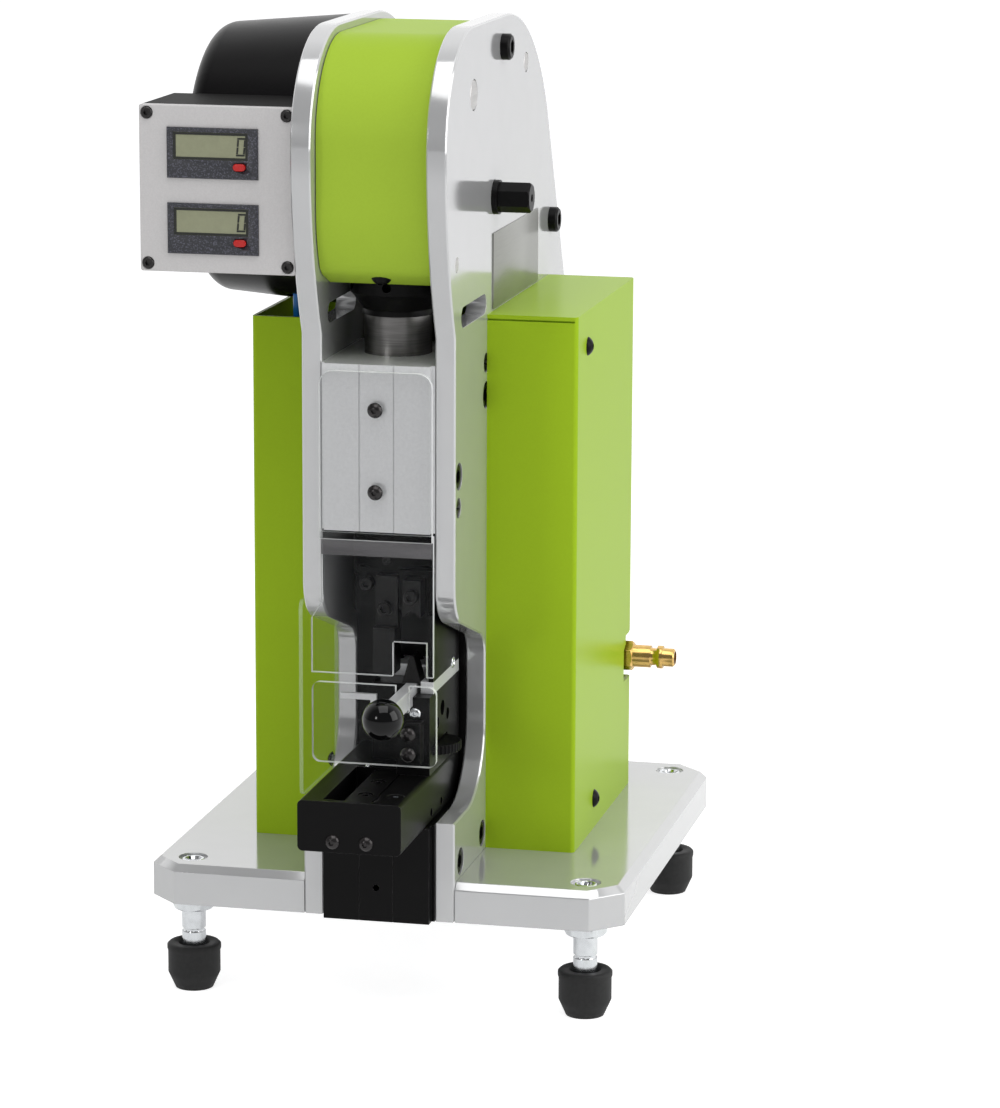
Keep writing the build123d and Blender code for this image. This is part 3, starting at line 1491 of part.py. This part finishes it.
def trough_front_screws():
    screw = button_screw(4, 7.5, 7.6, 2.4)
    return [face_front(x, trough_front, front_screw_z) * screw for x in (-front_screw_x, front_screw_x)]


def rail_screws():
    """Sunk screws from the rail down into the trough's floor."""
    screw = cap_screw(4, 15, 7.2, 2.6)
    return [Pos(rail_screw_x, y, trough_top - rail_screw_sink) * screw for y in rail_screw_ys]


# ---------------------------------------------------------------- node table
def build_parts():
    return {
        "base_plate_right": base_half(),
        "base_plate_left": mirror_x(base_half()),
        "foot_studs": foot_studs(),
        "foot_nuts": foot_nuts(),
        "rubber_feet": rubber_feet(),
        "side_plate_right": side_plate(),
        "side_plate_left": left_plate(),
        "shaft_bushes": shaft_bushes(),
        "front_column": front_column(),
        "base_spacer": base_spacer(),
        "rear_wall": rear_wall(),
        "spacers": tie_rods() + cover_standoffs(),
        "rear_brackets": rear_brackets(),
        "cap_screws": tie_bolts() + plate_screws() + wall_bolts() + base_bolts(),
        "cross_pins": head_pins() + [hood_rail()],
        "clamp_plugs": clamp_plugs(),
        "guide_block": guide_block(),
        "ram": ram(),
        "nut_ring": nut_ring(),
        "adjusting_nut": adjusting_nut(),
        "spindle": spindle(),
        "drive_shaft": drive_shaft(),
        "rocker_lever": rocker_lever(),
        "drive_rollers": drive_rollers(),
        "rotary_actuator": rotary_actuator(),
        "drum_cover": drum_cover(),
        "drum_screws": drum_screws(),
        "top_hood": top_hood(),
        "rear_cover": rear_cover(),
        "side_cover_right": right_cover(),
        "side_cover_left": left_cover(),
        "cover_screws": cover_screws() + rear_cover_screws() + [hood_screw()],
        "inlet_block": inlet_block(),
        "air_plug": air_plug(),
        "valve_block": valve_block(),
        "push_fittings": push_fittings(),
        "air_hose": air_hose(),
        "counter_case": counter_case(),
        "counter_lid": counter_lid(),
        "lid_screws": lid_screws(),
        "counters": [counter(bezel_level_upper), counter(bezel_level_lower)],
        "displays": [display(bezel_level_upper), display(bezel_level_lower)],
        "reset_button_upper": reset_button(bezel_level_upper),
        "reset_button_lower": reset_button(bezel_level_lower),
        "front_guard": upper_guard(),
        "lower_guard": lower_guard(),
        "guard_angle": guard_angle(),
        "side_guard": side_guard(),
        "button_screws": guard_screws() + side_guard_screws() + die_screws() + trough_front_screws(),
        "tool_holder": tool_holder(),
        "hold_down": hold_down(),
        "crimp_punch": crimp_punch(),
        "tool_screws": tool_screws(),
        "slide_bar": slide_bar(),
        "anvil": anvil(),
        "ball_knob": ball_knob(),
        "die_block": [die_block(), die_cheek()],
        "thumb_wheel": thumb_wheel(),
        "clamp_plate": clamp_plate(),
        "slide_trough": [slide_trough(), centre_rail()] + rail_screws() + [wall_screw()],
    }


def main():
    os.makedirs("parts", exist_ok=True)
    for name, made in build_parts().items():
        solids = []
        for piece in made if isinstance(made, list) else [made]:
            solids.extend(piece.solids())
        moved = [Pos(0, -centre_y, foot_height) * solid for solid in solids]
        shape = Compound(children=moved) if len(moved) > 1 else moved[0]
        export_step(shape, f"parts/{name}.step")


main()
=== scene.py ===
import bmesh
import bpy
import json
import math
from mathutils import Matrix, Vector


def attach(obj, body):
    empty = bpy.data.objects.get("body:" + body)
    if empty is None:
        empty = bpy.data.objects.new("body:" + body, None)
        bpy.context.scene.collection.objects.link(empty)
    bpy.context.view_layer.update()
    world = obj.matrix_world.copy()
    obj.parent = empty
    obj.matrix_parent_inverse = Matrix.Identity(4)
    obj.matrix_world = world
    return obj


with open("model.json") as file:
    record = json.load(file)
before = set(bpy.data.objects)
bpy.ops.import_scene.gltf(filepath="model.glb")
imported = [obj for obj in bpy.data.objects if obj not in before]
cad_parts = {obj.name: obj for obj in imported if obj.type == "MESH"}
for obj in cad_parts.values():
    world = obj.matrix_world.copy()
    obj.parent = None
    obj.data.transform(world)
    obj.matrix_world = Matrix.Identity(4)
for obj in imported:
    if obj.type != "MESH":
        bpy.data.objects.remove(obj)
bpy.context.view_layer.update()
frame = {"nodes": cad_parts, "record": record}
print("frame loaded")


# press millimetres to the row frame
def place(x, y, z):
    return Vector((x / 1000, (y - 101) / 1000, (z + 47) / 1000))


def deselectAll():
    for item in bpy.context.selected_objects:
        item.select_set(False)


# one procedural finish: tint drift, gloss drift and a fine bump
def makeFinish(name, look):
    finish = bpy.data.materials.new(name)
    finish.use_nodes = True
    tree = finish.node_tree
    shader = tree.nodes["Principled BSDF"]
    shader.inputs["Metallic"].default_value = look.get("metallic", 0.0)
    shader.inputs["IOR"].default_value = look.get("ior", 1.5)
    shader.inputs["Specular IOR Level"].default_value = look.get("specular", 0.5)
    shader.inputs["Coat Weight"].default_value = look.get("coat", 0.0)
    shader.inputs["Coat Roughness"].default_value = look.get("coatRoughness", 0.05)
    shader.inputs["Alpha"].default_value = look.get("alpha", 1.0)
    coords = tree.nodes.new("ShaderNodeTexCoord")
    mapping = tree.nodes.new("ShaderNodeMapping")
    mapping.inputs["Scale"].default_value = look.get("stretch", (1, 1, 1))
    tree.links.new(coords.outputs["Object"], mapping.inputs["Vector"])
    noise = tree.nodes.new("ShaderNodeTexNoise")
    noise.inputs["Scale"].default_value = look.get("grain", 300)
    noise.inputs["Detail"].default_value = look.get("detail", 3)
    tree.links.new(mapping.outputs["Vector"], noise.inputs["Vector"])
    tint = tree.nodes.new("ShaderNodeValToRGB")
    base = look["base"]
    drift = look.get("drift", 0.04)
    tint.color_ramp.elements[0].position = look.get("rampLow", 0.35)
    tint.color_ramp.elements[1].position = look.get("rampHigh", 0.65)
    dark = [c * (1 - drift) for c in base]
    light = look.get("fleck", [min(1, c * (1 + drift)) for c in base])
    tint.color_ramp.elements[0].color = (*dark, 1)
    tint.color_ramp.elements[1].color = (*light, 1)
    tree.links.new(noise.outputs["Fac"], tint.inputs["Fac"])
    tree.links.new(tint.outputs["Color"], shader.inputs["Base Color"])
    gloss = tree.nodes.new("ShaderNodeMapRange")
    rough = look.get("roughness", 0.3)
    spread = look.get("roughSpread", 0.05)
    gloss.inputs["To Min"].default_value = max(0.01, rough - spread)
    gloss.inputs["To Max"].default_value = rough + spread
    tree.links.new(noise.outputs["Fac"], gloss.inputs["Value"])
    tree.links.new(gloss.outputs["Result"], shader.inputs["Roughness"])
    if look.get("bump", 0) > 0:
        bump = tree.nodes.new("ShaderNodeBump")
        bump.inputs["Strength"].default_value = look["bump"]
        bump.inputs["Distance"].default_value = look.get("bumpDepth", 0.0002)
        tree.links.new(noise.outputs["Fac"], bump.inputs["Height"])
        tree.links.new(bump.outputs["Normal"], shader.inputs["Normal"])
    return finish


finishLooks = {
    "plate_paint": {"base": (0.59, 0.592, 0.595), "metallic": 0.5, "roughness": 0.11,
                    "roughSpread": 0.006, "drift": 0.008, "grain": 60, "detail": 1},
    "green_paint": {"base": (0.34, 0.518, 0.019), "roughness": 0.3, "roughSpread": 0.02,
                    "drift": 0.012, "grain": 900, "specular": 0.045},
    "hood_paint": {"base": (0.385, 0.555, 0.05), "roughness": 0.4, "roughSpread": 0.02,
                   "drift": 0.012, "grain": 900, "specular": 0.04},
    "black_metal": {"base": (0.0035, 0.0033, 0.0035), "roughness": 0.34, "roughSpread": 0.004,
                    "drift": 0.05, "grain": 90, "specular": 0.12},
    "grey_metal": {"base": (0.42, 0.43, 0.44), "roughness": 0.36, "drift": 0.05, "bump": 0.04,
                   "grain": 700},
    "guide_paint": {"base": (0.70, 0.705, 0.71), "metallic": 0.4, "roughness": 0.32, "drift": 0.03,
                    "bump": 0.02, "grain": 700},
    # the ram's neck: steel with a dark base colour, a painted dark reflection of the surroundings in front
    "neck_steel_painted_dark": {"base": (0.19, 0.185, 0.18), "metallic": 1.0, "roughness": 0.3,
                   "stretch": (1, 1, 30), "drift": 0.16, "grain": 60},
    "bright_steel": {"base": (0.52, 0.51, 0.50), "metallic": 1.0, "roughness": 0.34,
                     "stretch": (1, 1, 30), "drift": 0.1, "grain": 60},
    "tool_steel": {"base": (0.016, 0.0155, 0.0155), "metallic": 0.5, "roughness": 0.34,
                   "roughSpread": 0.01, "drift": 0.05, "grain": 90, "specular": 0.3},
    "chrome": {"base": (0.72, 0.74, 0.76), "metallic": 1.0, "roughness": 0.2, "drift": 0.05},
    "brass": {"base": (0.72, 0.47, 0.16), "metallic": 1.0, "roughness": 0.2, "drift": 0.08},
    "bronze": {"base": (0.45, 0.26, 0.1), "metallic": 1.0, "roughness": 0.35, "drift": 0.1},
    "rubber": {"base": (0.012, 0.012, 0.012), "roughness": 0.62, "drift": 0.2, "bump": 0.08,
               "grain": 500, "specular": 0.4},
    # a paler black for the bevels of three black parts: a painted edge highlight
    "black_edge_highlight": {"base": (0.16, 0.157, 0.157), "metallic": 0.15, "roughness": 0.28,
                   "drift": 0.05},
    "black_gloss": {"base": (0.002, 0.002, 0.0022), "roughness": 0.06, "drift": 0.1, "grain": 400,
                    "specular": 0.3},
    "dark_screw": {"base": (0.045, 0.042, 0.042), "metallic": 0.8, "roughness": 0.24,
                   "roughSpread": 0.01, "drift": 0.05, "grain": 90},
    "drum_plastic": {"base": (0.004, 0.0036, 0.004), "roughness": 0.3, "drift": 0.1, "bump": 0.02,
                     "grain": 900, "specular": 0.12},
    "case_grey": {"base": (0.60, 0.585, 0.58), "roughness": 0.5, "drift": 0.03, "bump": 0.12,
                  "grain": 1500},
    # the counter case: darker than the case grey, painted shade from the drum above
    "case_painted_shade": {"base": (0.012, 0.0118, 0.0115), "roughness": 0.5, "drift": 0.06, "grain": 900,
                  "specular": 0.03},
    "clear_sheet": {"base": (0.06, 0.065, 0.065), "roughness": 0.04, "roughSpread": 0.01,
                    "alpha": 0.05, "drift": 0.01, "specular": 0.6},
    # paler finishes for the clear guards' edges: painted highlights, white on the front and lower guards,
    # green-tinted on the side guard
    "clear_edge_highlight": {"base": (0.9, 0.92, 0.91), "roughness": 0.12, "roughSpread": 0.02, "alpha": 0.8,
                   "drift": 0.02},
    "clear_rim_highlight": {"base": (0.72, 0.84, 0.62), "roughness": 0.12, "roughSpread": 0.02, "alpha": 0.28,
                  "drift": 0.02},
    # a grey see-through finish for the front guard's bend: painted shade
    "bend_painted_shade": {"base": (0.15, 0.145, 0.15), "roughness": 0.2, "alpha": 0.6, "drift": 0.25,
                  "grain": 40, "stretch": (0.3, 1, 4)},
    "display_glass": {"base": (0.29, 0.30, 0.19), "roughness": 0.22, "drift": 0.03},
    "red_plastic": {"base": (0.52, 0.012, 0.010), "roughness": 0.3, "drift": 0.05},
    "alloy": {"base": (0.60, 0.61, 0.62), "metallic": 1.0, "roughness": 0.35, "drift": 0.05},
    "blue_hose": {"base": (0.01, 0.20, 0.62), "roughness": 0.25, "drift": 0.05},
    "bezel": {"base": (0.030, 0.031, 0.038), "fleck": (0.10, 0.10, 0.13), "rampLow": 0.52,
              "rampHigh": 0.70, "roughness": 0.4, "grain": 1400, "detail": 1},
    "ink": {"base": (0.015, 0.017, 0.012), "roughness": 0.5, "drift": 0.1},
    "badge": {"base": (0.30, 0.30, 0.28), "metallic": 0.6, "roughness": 0.3, "stretch": (1, 1, 40),
              "grain": 50, "drift": 0.06},
}
finishes = {name: makeFinish(name, look) for name, look in finishLooks.items()}
print("finishes made")


# CAD nodes whose finish differs from their slot's
nodeFinishes = {
    "counters": "bezel",
    # the counter case takes the darker finish, painted shade from the drum above
    "counter_case": "case_painted_shade",
    "top_hood": "hood_paint",
    "guide_block": "guide_paint",
    "guard_angle": "guide_paint",
    # the steel slide bar takes the pale guide finish: its lighter colour is a painted reflection of white
    # surroundings
    "slide_bar": "guide_paint",
    "clamp_plate": "guide_paint",
    # the neck's steel is painted dark, a painted reflection of dark surroundings
    "ram": "neck_steel_painted_dark",
    "drum_cover": "drum_plastic",
    "ball_knob": "black_gloss",
    "crimp_punch": "tool_steel",
    "anvil": "tool_steel",
    "hold_down": "tool_steel",
    "tool_screws": "tool_steel",
    "lid_screws": "dark_screw",
    "button_screws": "dark_screw",
}
# softened edges in metres, by slot, narrower where a node's own facets leave less room
edgeWidths = {
    "plate_paint": 0.0005,
    "green_paint": 0.0004,
    "black_metal": 0.0003,
    "bright_steel": 0.00025,
    "case_grey": 0.0003,
    "clear_sheet": 0.0004,
    "grey_metal": 0.0003,
}
# these three leave only a hairline of a few hundredths of a millimetre, in a paler finish that paints a
# highlight along their edges
highlightEdges = {"slide_trough": 0.0009, "die_block": 0.0004, "front_column": 0.0004}
flatSlots = ("plate_paint", "green_paint", "clear_sheet")
softening = {"merge": 0.00001, "flatAngle": 0.3, "edgeAngle": 38, "smoothAngle": 32, "segments": 2,
             "weight": 90}

# each CAD node is welded, freed of slivers on flat faces, softened and smoothed
for entry in frame["record"]["subparts"]:
    node = frame["nodes"][entry["node"]]
    slot = entry["material_slot"]
    node.data.materials.clear()
    node.data.materials.append(finishes[nodeFinishes.get(node.name, slot)])
    deselectAll()
    node.select_set(True)
    bpy.context.view_layer.objects.active = node
    weld = node.modifiers.new("weld", "WELD")
    weld.merge_threshold = softening["merge"]
    if slot in flatSlots:
        flatten = node.modifiers.new("flatten", "DECIMATE")
        flatten.decimate_type = "DISSOLVE"
        flatten.angle_limit = math.radians(softening["flatAngle"])
        flatten.delimit = {"MATERIAL"}
    if slot in edgeWidths:
        soften = node.modifiers.new("soften", "BEVEL")
        soften.width = highlightEdges.get(node.name, edgeWidths[slot])
        soften.segments = softening["segments"]
        soften.limit_method = "ANGLE"
        soften.angle_limit = math.radians(softening["edgeAngle"])
        soften.harden_normals = False
        # the bevel faces take the paler finish, a painted highlight along the edges
        if node.name in highlightEdges:
            node.data.materials.append(finishes["black_edge_highlight"])
            soften.material = 1
    bpy.ops.object.shade_smooth_by_angle(angle=math.radians(softening["smoothAngle"]))
    level = node.modifiers.new("level", "WEIGHTED_NORMAL")
    level.keep_sharp = True
    level.weight = softening["weight"]

# the guards' polished edges take a second, paler finish, a painted highlight; each guard is flat across one
# axis
guardHighlights = {
    "front_guard": ("clear_edge_highlight", 1),
    "lower_guard": ("clear_edge_highlight", 1),
    "side_guard": ("clear_rim_highlight", 0),
}
squareOn = 0.7
for name, (highlightFinish, acrossAxis) in guardHighlights.items():
    guard = frame["nodes"][name]
    guard.data.materials.append(finishes[highlightFinish])
    for face in guard.data.polygons:
        if abs(face.normal[acrossAxis]) < squareOn:
            face.material_index = 1

# below its bright neck the ram is black
neckFoot = place(0, 0, 262).z
ramNode = frame["nodes"]["ram"]
ramNode.data.materials.append(finishes["black_metal"])
for face in ramNode.data.polygons:
    if face.center[2] < neckFoot:
        face.material_index = 1

# the screw that is sunk in the trough's right wall is bright
wallScrew = {"spot": place(18.9, -41.6, 73.5), "radius": 0.0021, "reach": 0.004}
troughNode = frame["nodes"]["slide_trough"]
troughNode.data.materials.append(finishes["chrome"])
for face in troughNode.data.polygons:
    away = face.center - wallScrew["spot"]
    if math.hypot(away.x, away.y) < wallScrew["radius"] and abs(away.z) < wallScrew["reach"]:
        face.material_index = 2
print("cad nodes finished")


def finishPiece(piece, name, finish, body, angle=32):
    piece.name = name
    piece.data.materials.clear()
    piece.data.materials.append(finishes[finish])
    deselectAll()
    piece.select_set(True)
    bpy.context.view_layer.objects.active = piece
    bpy.ops.object.shade_smooth_by_angle(angle=math.radians(angle))
    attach(piece, body)
    return piece


# a block between two corners, shaped in edit mode so that its origin stays at the row's origin
def makeBlock(name, low, high, bevel, finish, body):
    a = place(*low)
    b = place(*high)
    deselectAll()
    bpy.ops.mesh.primitive_cube_add(size=1)
    piece = bpy.context.object
    bpy.ops.object.mode_set(mode="EDIT")
    bpy.ops.mesh.select_all(action="SELECT")
    bpy.ops.transform.resize(value=b - a)
    bpy.ops.transform.translate(value=(a + b) / 2)
    if bevel > 0:
        bpy.ops.mesh.bevel(offset=bevel / 1000, segments=2, affect="EDGES")
    bpy.ops.object.mode_set(mode="OBJECT")
    return finishPiece(piece, name, finish, body)


# a domed screw head with a round recess, turned so that it points along one axis
headShape = {"sides": 40, "domeHeight": 0.8, "domeWidth": 0.3, "domeSteps": 5, "land": 0.04, "lip": 0.05,
             "recess": 0.45}


def makeHead(name, spot, toward, width, height, finish, body):
    deselectAll()
    bpy.ops.mesh.primitive_cylinder_add(vertices=headShape["sides"], radius=width / 2000,
                                        depth=height / 1000)
    piece = bpy.context.object
    bpy.ops.object.mode_set(mode="EDIT")
    shape = bmesh.from_edit_mesh(piece.data)
    rim = [e for e in shape.edges if all(v.co.z > 0 for v in e.verts)]
    dome = min(height * headShape["domeHeight"], width * headShape["domeWidth"]) / 1000
    bmesh.ops.bevel(shape, geom=rim, offset=dome, segments=headShape["domeSteps"], profile=0.5,
                    affect="EDGES")
    top = max(shape.faces, key=lambda f: f.calc_center_median().z)
    land = width * headShape["land"] / 1000
    lip = width * headShape["lip"] / 1000
    recess = height * headShape["recess"] / 1000
    bmesh.ops.inset_region(shape, faces=[top], thickness=land, depth=0)
    bmesh.ops.inset_region(shape, faces=[top], thickness=lip, depth=-recess)
    turn = Vector((0, 0, 1)).rotation_difference(Vector(toward)).to_matrix()
    bmesh.ops.translate(shape, verts=shape.verts, vec=(0, 0, height / 2000))
    bmesh.ops.rotate(shape, verts=shape.verts, cent=(0, 0, 0), matrix=turn)
    bmesh.ops.translate(shape, verts=shape.verts, vec=place(*spot))
    bmesh.update_edit_mesh(piece.data)
    bpy.ops.object.mode_set(mode="OBJECT")
    return finishPiece(piece, name, finish, body)


smallHeads = [
    {"name": "dieScrew", "spot": (18.5, -0.1, 104.6), "toward": (0, -1, 0), "width": 6.0, "height": 2.4,
     "finish": "chrome", "body": "frame"},
    {"name": "ramSetScrew", "spot": (-0.6, 18.05, 176.0), "toward": (0, -1, 0), "width": 5.0, "height": 0.8,
     "finish": "black_gloss", "body": "ram"},
    {"name": "troughPinLeft", "spot": (-8.2, 11.6, 73.4), "toward": (0, 0, 1), "width": 3.0, "height": 0.8,
     "finish": "chrome", "body": "frame"},
    {"name": "cheekScrew", "spot": (25.4, 48.1, 119.6), "toward": (1, 0, 0), "width": 6.0, "height": 0.9,
     "finish": "chrome", "body": "frame"},
]
for head in smallHeads:
    makeHead(**head)

# a grey see-through strip lies along the bend across the front guard: painted shade for the soft dark band
# the bend shows
bendShade = {"half": 27.6, "front": -3.75, "deep": 0.08, "low": 182.0, "high": 189.6}
makeBlock("guardBendShade", (-bendShade["half"], bendShade["front"], bendShade["low"]),
          (bendShade["half"], bendShade["front"] + bendShade["deep"], bendShade["high"]), 0, "bend_painted_shade", "frame")

# bare name plate on the right side plate
badge = {"x": 38.0, "thick": 0.6, "y0": 79.5, "y1": 183.5, "z0": 291.8, "z1": 329.5, "bevel": 0.15}
makeBlock("namePlate", (badge["x"] + 0.02, badge["y0"], badge["z0"]),
          (badge["x"] + badge["thick"], badge["y1"], badge["z1"]), badge["bevel"], "badge", "frame")

# one slanted digit on each display, built from six bars
digit = {"width": 4.2, "height": 8.8, "bar": 0.85, "gap": 0.17, "lean": 0.09, "x": -64.2, "front": -10.95,
         "deep": 0.06}
displayLevels = {"Upper": 378.8, "Lower": 342.6}


def makeDigit(name, level):
    deselectAll()
    bpy.ops.mesh.primitive_plane_add(size=1)
    piece = bpy.context.object
    bpy.ops.object.mode_set(mode="EDIT")
    shape = bmesh.from_edit_mesh(piece.data)
    bmesh.ops.delete(shape, geom=shape.verts, context="VERTS")
    half = digit["width"] / 2
    rise = digit["height"] / 2
    bar = digit["bar"]
    gap = digit["gap"]
    bars = [(-half, half, -rise, -rise + bar), (-half, half, rise - bar, rise)]
    for x0 in (-half, half - bar):
        bars.append((x0, x0 + bar, -rise + bar + gap, -gap))
        bars.append((x0, x0 + bar, gap, rise - bar - gap))
    for x0, x1, z0, z1 in bars:
        low = place(digit["x"] + x0, digit["front"], level + z0)
        high = place(digit["x"] + x1, digit["front"] + digit["deep"], level + z1)
        cube = bmesh.ops.create_cube(shape, size=1)["verts"]
        bmesh.ops.scale(shape, verts=cube, vec=high - low)
        bmesh.ops.translate(shape, verts=cube, vec=(low + high) / 2)
    middle = place(digit["x"], 0, level).z
    for vert in shape.verts:
        vert.co.x += (vert.co.z - middle) * digit["lean"]
    bmesh.update_edit_mesh(piece.data)
    bpy.ops.object.mode_set(mode="OBJECT")
    return finishPiece(piece, name, "ink", "frame")


for label, level in displayLevels.items():
    makeDigit(f"digit{label}", level)

# dark rim round each display's glass, from four strips
rimLook = {"x0": -97.6, "x1": -61.0, "half": 6.4, "band": 1.1, "front": -10.98, "deep": 0.1}
for label, level in displayLevels.items():
    left = rimLook["x0"]
    right = rimLook["x1"]
    low = level - rimLook["half"]
    high = level + rimLook["half"]
    band = rimLook["band"]
    strips = [(left, right, low, low + band), (left, right, high - band, high),
              (left, left + band, low + band, high - band), (right - band, right, low + band, high - band)]
    for number, (x0, x1, z0, z1) in enumerate(strips):
        makeBlock(f"glassRim{label}{number}", (x0, rimLook["front"], z0),
                  (x1, rimLook["front"] + rimLook["deep"], z1), 0, "ink", "frame")
print("small pieces made")


# pale floor: brighter to the eye, and graded from front to back for what shines
floorLook = {"size": 60, "below": 0.0002, "seen": 0.80, "glow": 0.28, "shine": 0.68, "from": -0.4, "to": 0.4}
bpy.ops.mesh.primitive_plane_add(size=floorLook["size"], location=(0, 0, -floorLook["below"]))
floor = bpy.context.object
floor.name = "floor"
floorPaint = {"base": (0.6, 0.6, 0.6), "roughness": 0.8, "drift": 0.01, "grain": 4}
floorFinish = makeFinish("floorFinish", floorPaint)
floorTree = floorFinish.node_tree
floorShader = floorTree.nodes["Principled BSDF"]
floorShader.inputs["Emission Color"].default_value = (1, 1, 1, 1)
seen = floorTree.nodes.new("ShaderNodeLightPath")
spread = floorTree.nodes.new("ShaderNodeTexCoord")
across = floorTree.nodes.new("ShaderNodeSeparateXYZ")
floorTree.links.new(spread.outputs["Object"], across.inputs["Vector"])
shine = floorTree.nodes.new("ShaderNodeMapRange")
shine.inputs["From Min"].default_value = floorLook["from"]
shine.inputs["From Max"].default_value = floorLook["to"]
shine.inputs["To Min"].default_value = floorLook["glow"]
shine.inputs["To Max"].default_value = floorLook["shine"]
floorTree.links.new(across.outputs["Y"], shine.inputs["Value"])
dimmer = floorTree.nodes.new("ShaderNodeMapRange")
dimmer.inputs["To Min"].default_value = floorLook["glow"]
floorTree.links.new(seen.outputs["Is Glossy Ray"], dimmer.inputs["Value"])
floorTree.links.new(shine.outputs["Result"], dimmer.inputs["To Max"])
floorGlow = floorTree.nodes.new("ShaderNodeMapRange")
floorGlow.inputs["To Max"].default_value = floorLook["seen"]
floorTree.links.new(seen.outputs["Is Camera Ray"], floorGlow.inputs["Value"])
floorTree.links.new(dimmer.outputs["Result"], floorGlow.inputs["To Min"])
floorTree.links.new(floorGlow.outputs["Result"], floorShader.inputs["Emission Strength"])
floor.data.materials.append(floorFinish)

# white to the eye, a soft sky for light, and graded from front to back for what shines
skyLook = {"soft": 0.41, "dark": 0.20, "bright": 1.15, "from": -0.3, "to": 0.5}
world = bpy.data.worlds.new("studio")
bpy.context.scene.world = world
world.use_nodes = True
sky = world.node_tree
sky.nodes.clear()
output = sky.nodes.new("ShaderNodeOutputWorld")
mixer = sky.nodes.new("ShaderNodeMixShader")
softSky = sky.nodes.new("ShaderNodeBackground")
softSky.inputs["Color"].default_value = (0.96, 0.97, 1.0, 1)
softSky.inputs["Strength"].default_value = skyLook["soft"]
shineSky = sky.nodes.new("ShaderNodeBackground")
shineSky.inputs["Color"].default_value = (1, 1, 1, 1)
whiteSky = sky.nodes.new("ShaderNodeBackground")
whiteSky.inputs["Color"].default_value = (1, 1, 1, 1)
whiteSky.inputs["Strength"].default_value = 1.0
heading = sky.nodes.new("ShaderNodeTexCoord")
split = sky.nodes.new("ShaderNodeSeparateXYZ")
sky.links.new(heading.outputs["Generated"], split.inputs["Vector"])
backdrop = sky.nodes.new("ShaderNodeMapRange")
backdrop.inputs["From Min"].default_value = skyLook["from"]
backdrop.inputs["From Max"].default_value = skyLook["to"]
backdrop.inputs["To Min"].default_value = skyLook["dark"]
backdrop.inputs["To Max"].default_value = skyLook["bright"]
sky.links.new(split.outputs["Y"], backdrop.inputs["Value"])
sky.links.new(backdrop.outputs["Result"], shineSky.inputs["Strength"])
path = sky.nodes.new("ShaderNodeLightPath")
glossMixer = sky.nodes.new("ShaderNodeMixShader")
sky.links.new(path.outputs["Is Glossy Ray"], glossMixer.inputs["Fac"])
sky.links.new(softSky.outputs["Background"], glossMixer.inputs[1])
sky.links.new(shineSky.outputs["Background"], glossMixer.inputs[2])
sky.links.new(path.outputs["Is Camera Ray"], mixer.inputs["Fac"])
sky.links.new(glossMixer.outputs["Shader"], mixer.inputs[1])
sky.links.new(whiteSky.outputs["Background"], mixer.inputs[2])
sky.links.new(mixer.outputs["Shader"], output.inputs["Surface"])

lamps = [
    {"name": "rightSoft", "spot": (2.2, -0.3, 1.1), "target": (0, 0, 0.25), "width": 1.6, "height": 1.8,
     "power": 25},
    {"name": "topSoft", "spot": (0.2, -0.6, 2.1), "target": (0, 0, 0.2), "width": 1.6, "height": 1.6,
     "power": 18},
    {"name": "frontFill", "spot": (-1.0, -2.2, 1.0), "target": (0, 0, 0.25), "width": 0.4, "height": 0.5,
     "power": 6.2},
]


def addLamp(name, spot, target, width, height, power):
    lamp = bpy.data.lights.new(name, "AREA")
    lamp.shape = "RECTANGLE"
    lamp.size = width
    lamp.size_y = height
    lamp.energy = power
    holder = bpy.data.objects.new(name, lamp)
    bpy.context.scene.collection.objects.link(holder)
    holder.location = spot
    holder.rotation_euler = (Vector(target) - Vector(spot)).to_track_quat("-Z", "Y").to_euler()


for lampLook in lamps:
    addLamp(**lampLook)

eye = {"spot": (0.5073, -2.1009, 0.6570), "turn": (78.3001, -0.2353, 12.6522), "lens": 141.70, "sensor": 36,
       "near": 0.05, "far": 30}
camera = bpy.data.cameras.new("camera")
camera.lens = eye["lens"]
camera.sensor_width = eye["sensor"]
camera.sensor_fit = "AUTO"
camera.clip_start = eye["near"]
camera.clip_end = eye["far"]
cameraHolder = bpy.data.objects.new("camera", camera)
bpy.context.scene.collection.objects.link(cameraHolder)
cameraHolder.location = eye["spot"]
cameraHolder.rotation_euler = [math.radians(a) for a in eye["turn"]]
bpy.context.scene.camera = cameraHolder
bpy.context.scene.view_settings.view_transform = "Standard"
print("stage set")
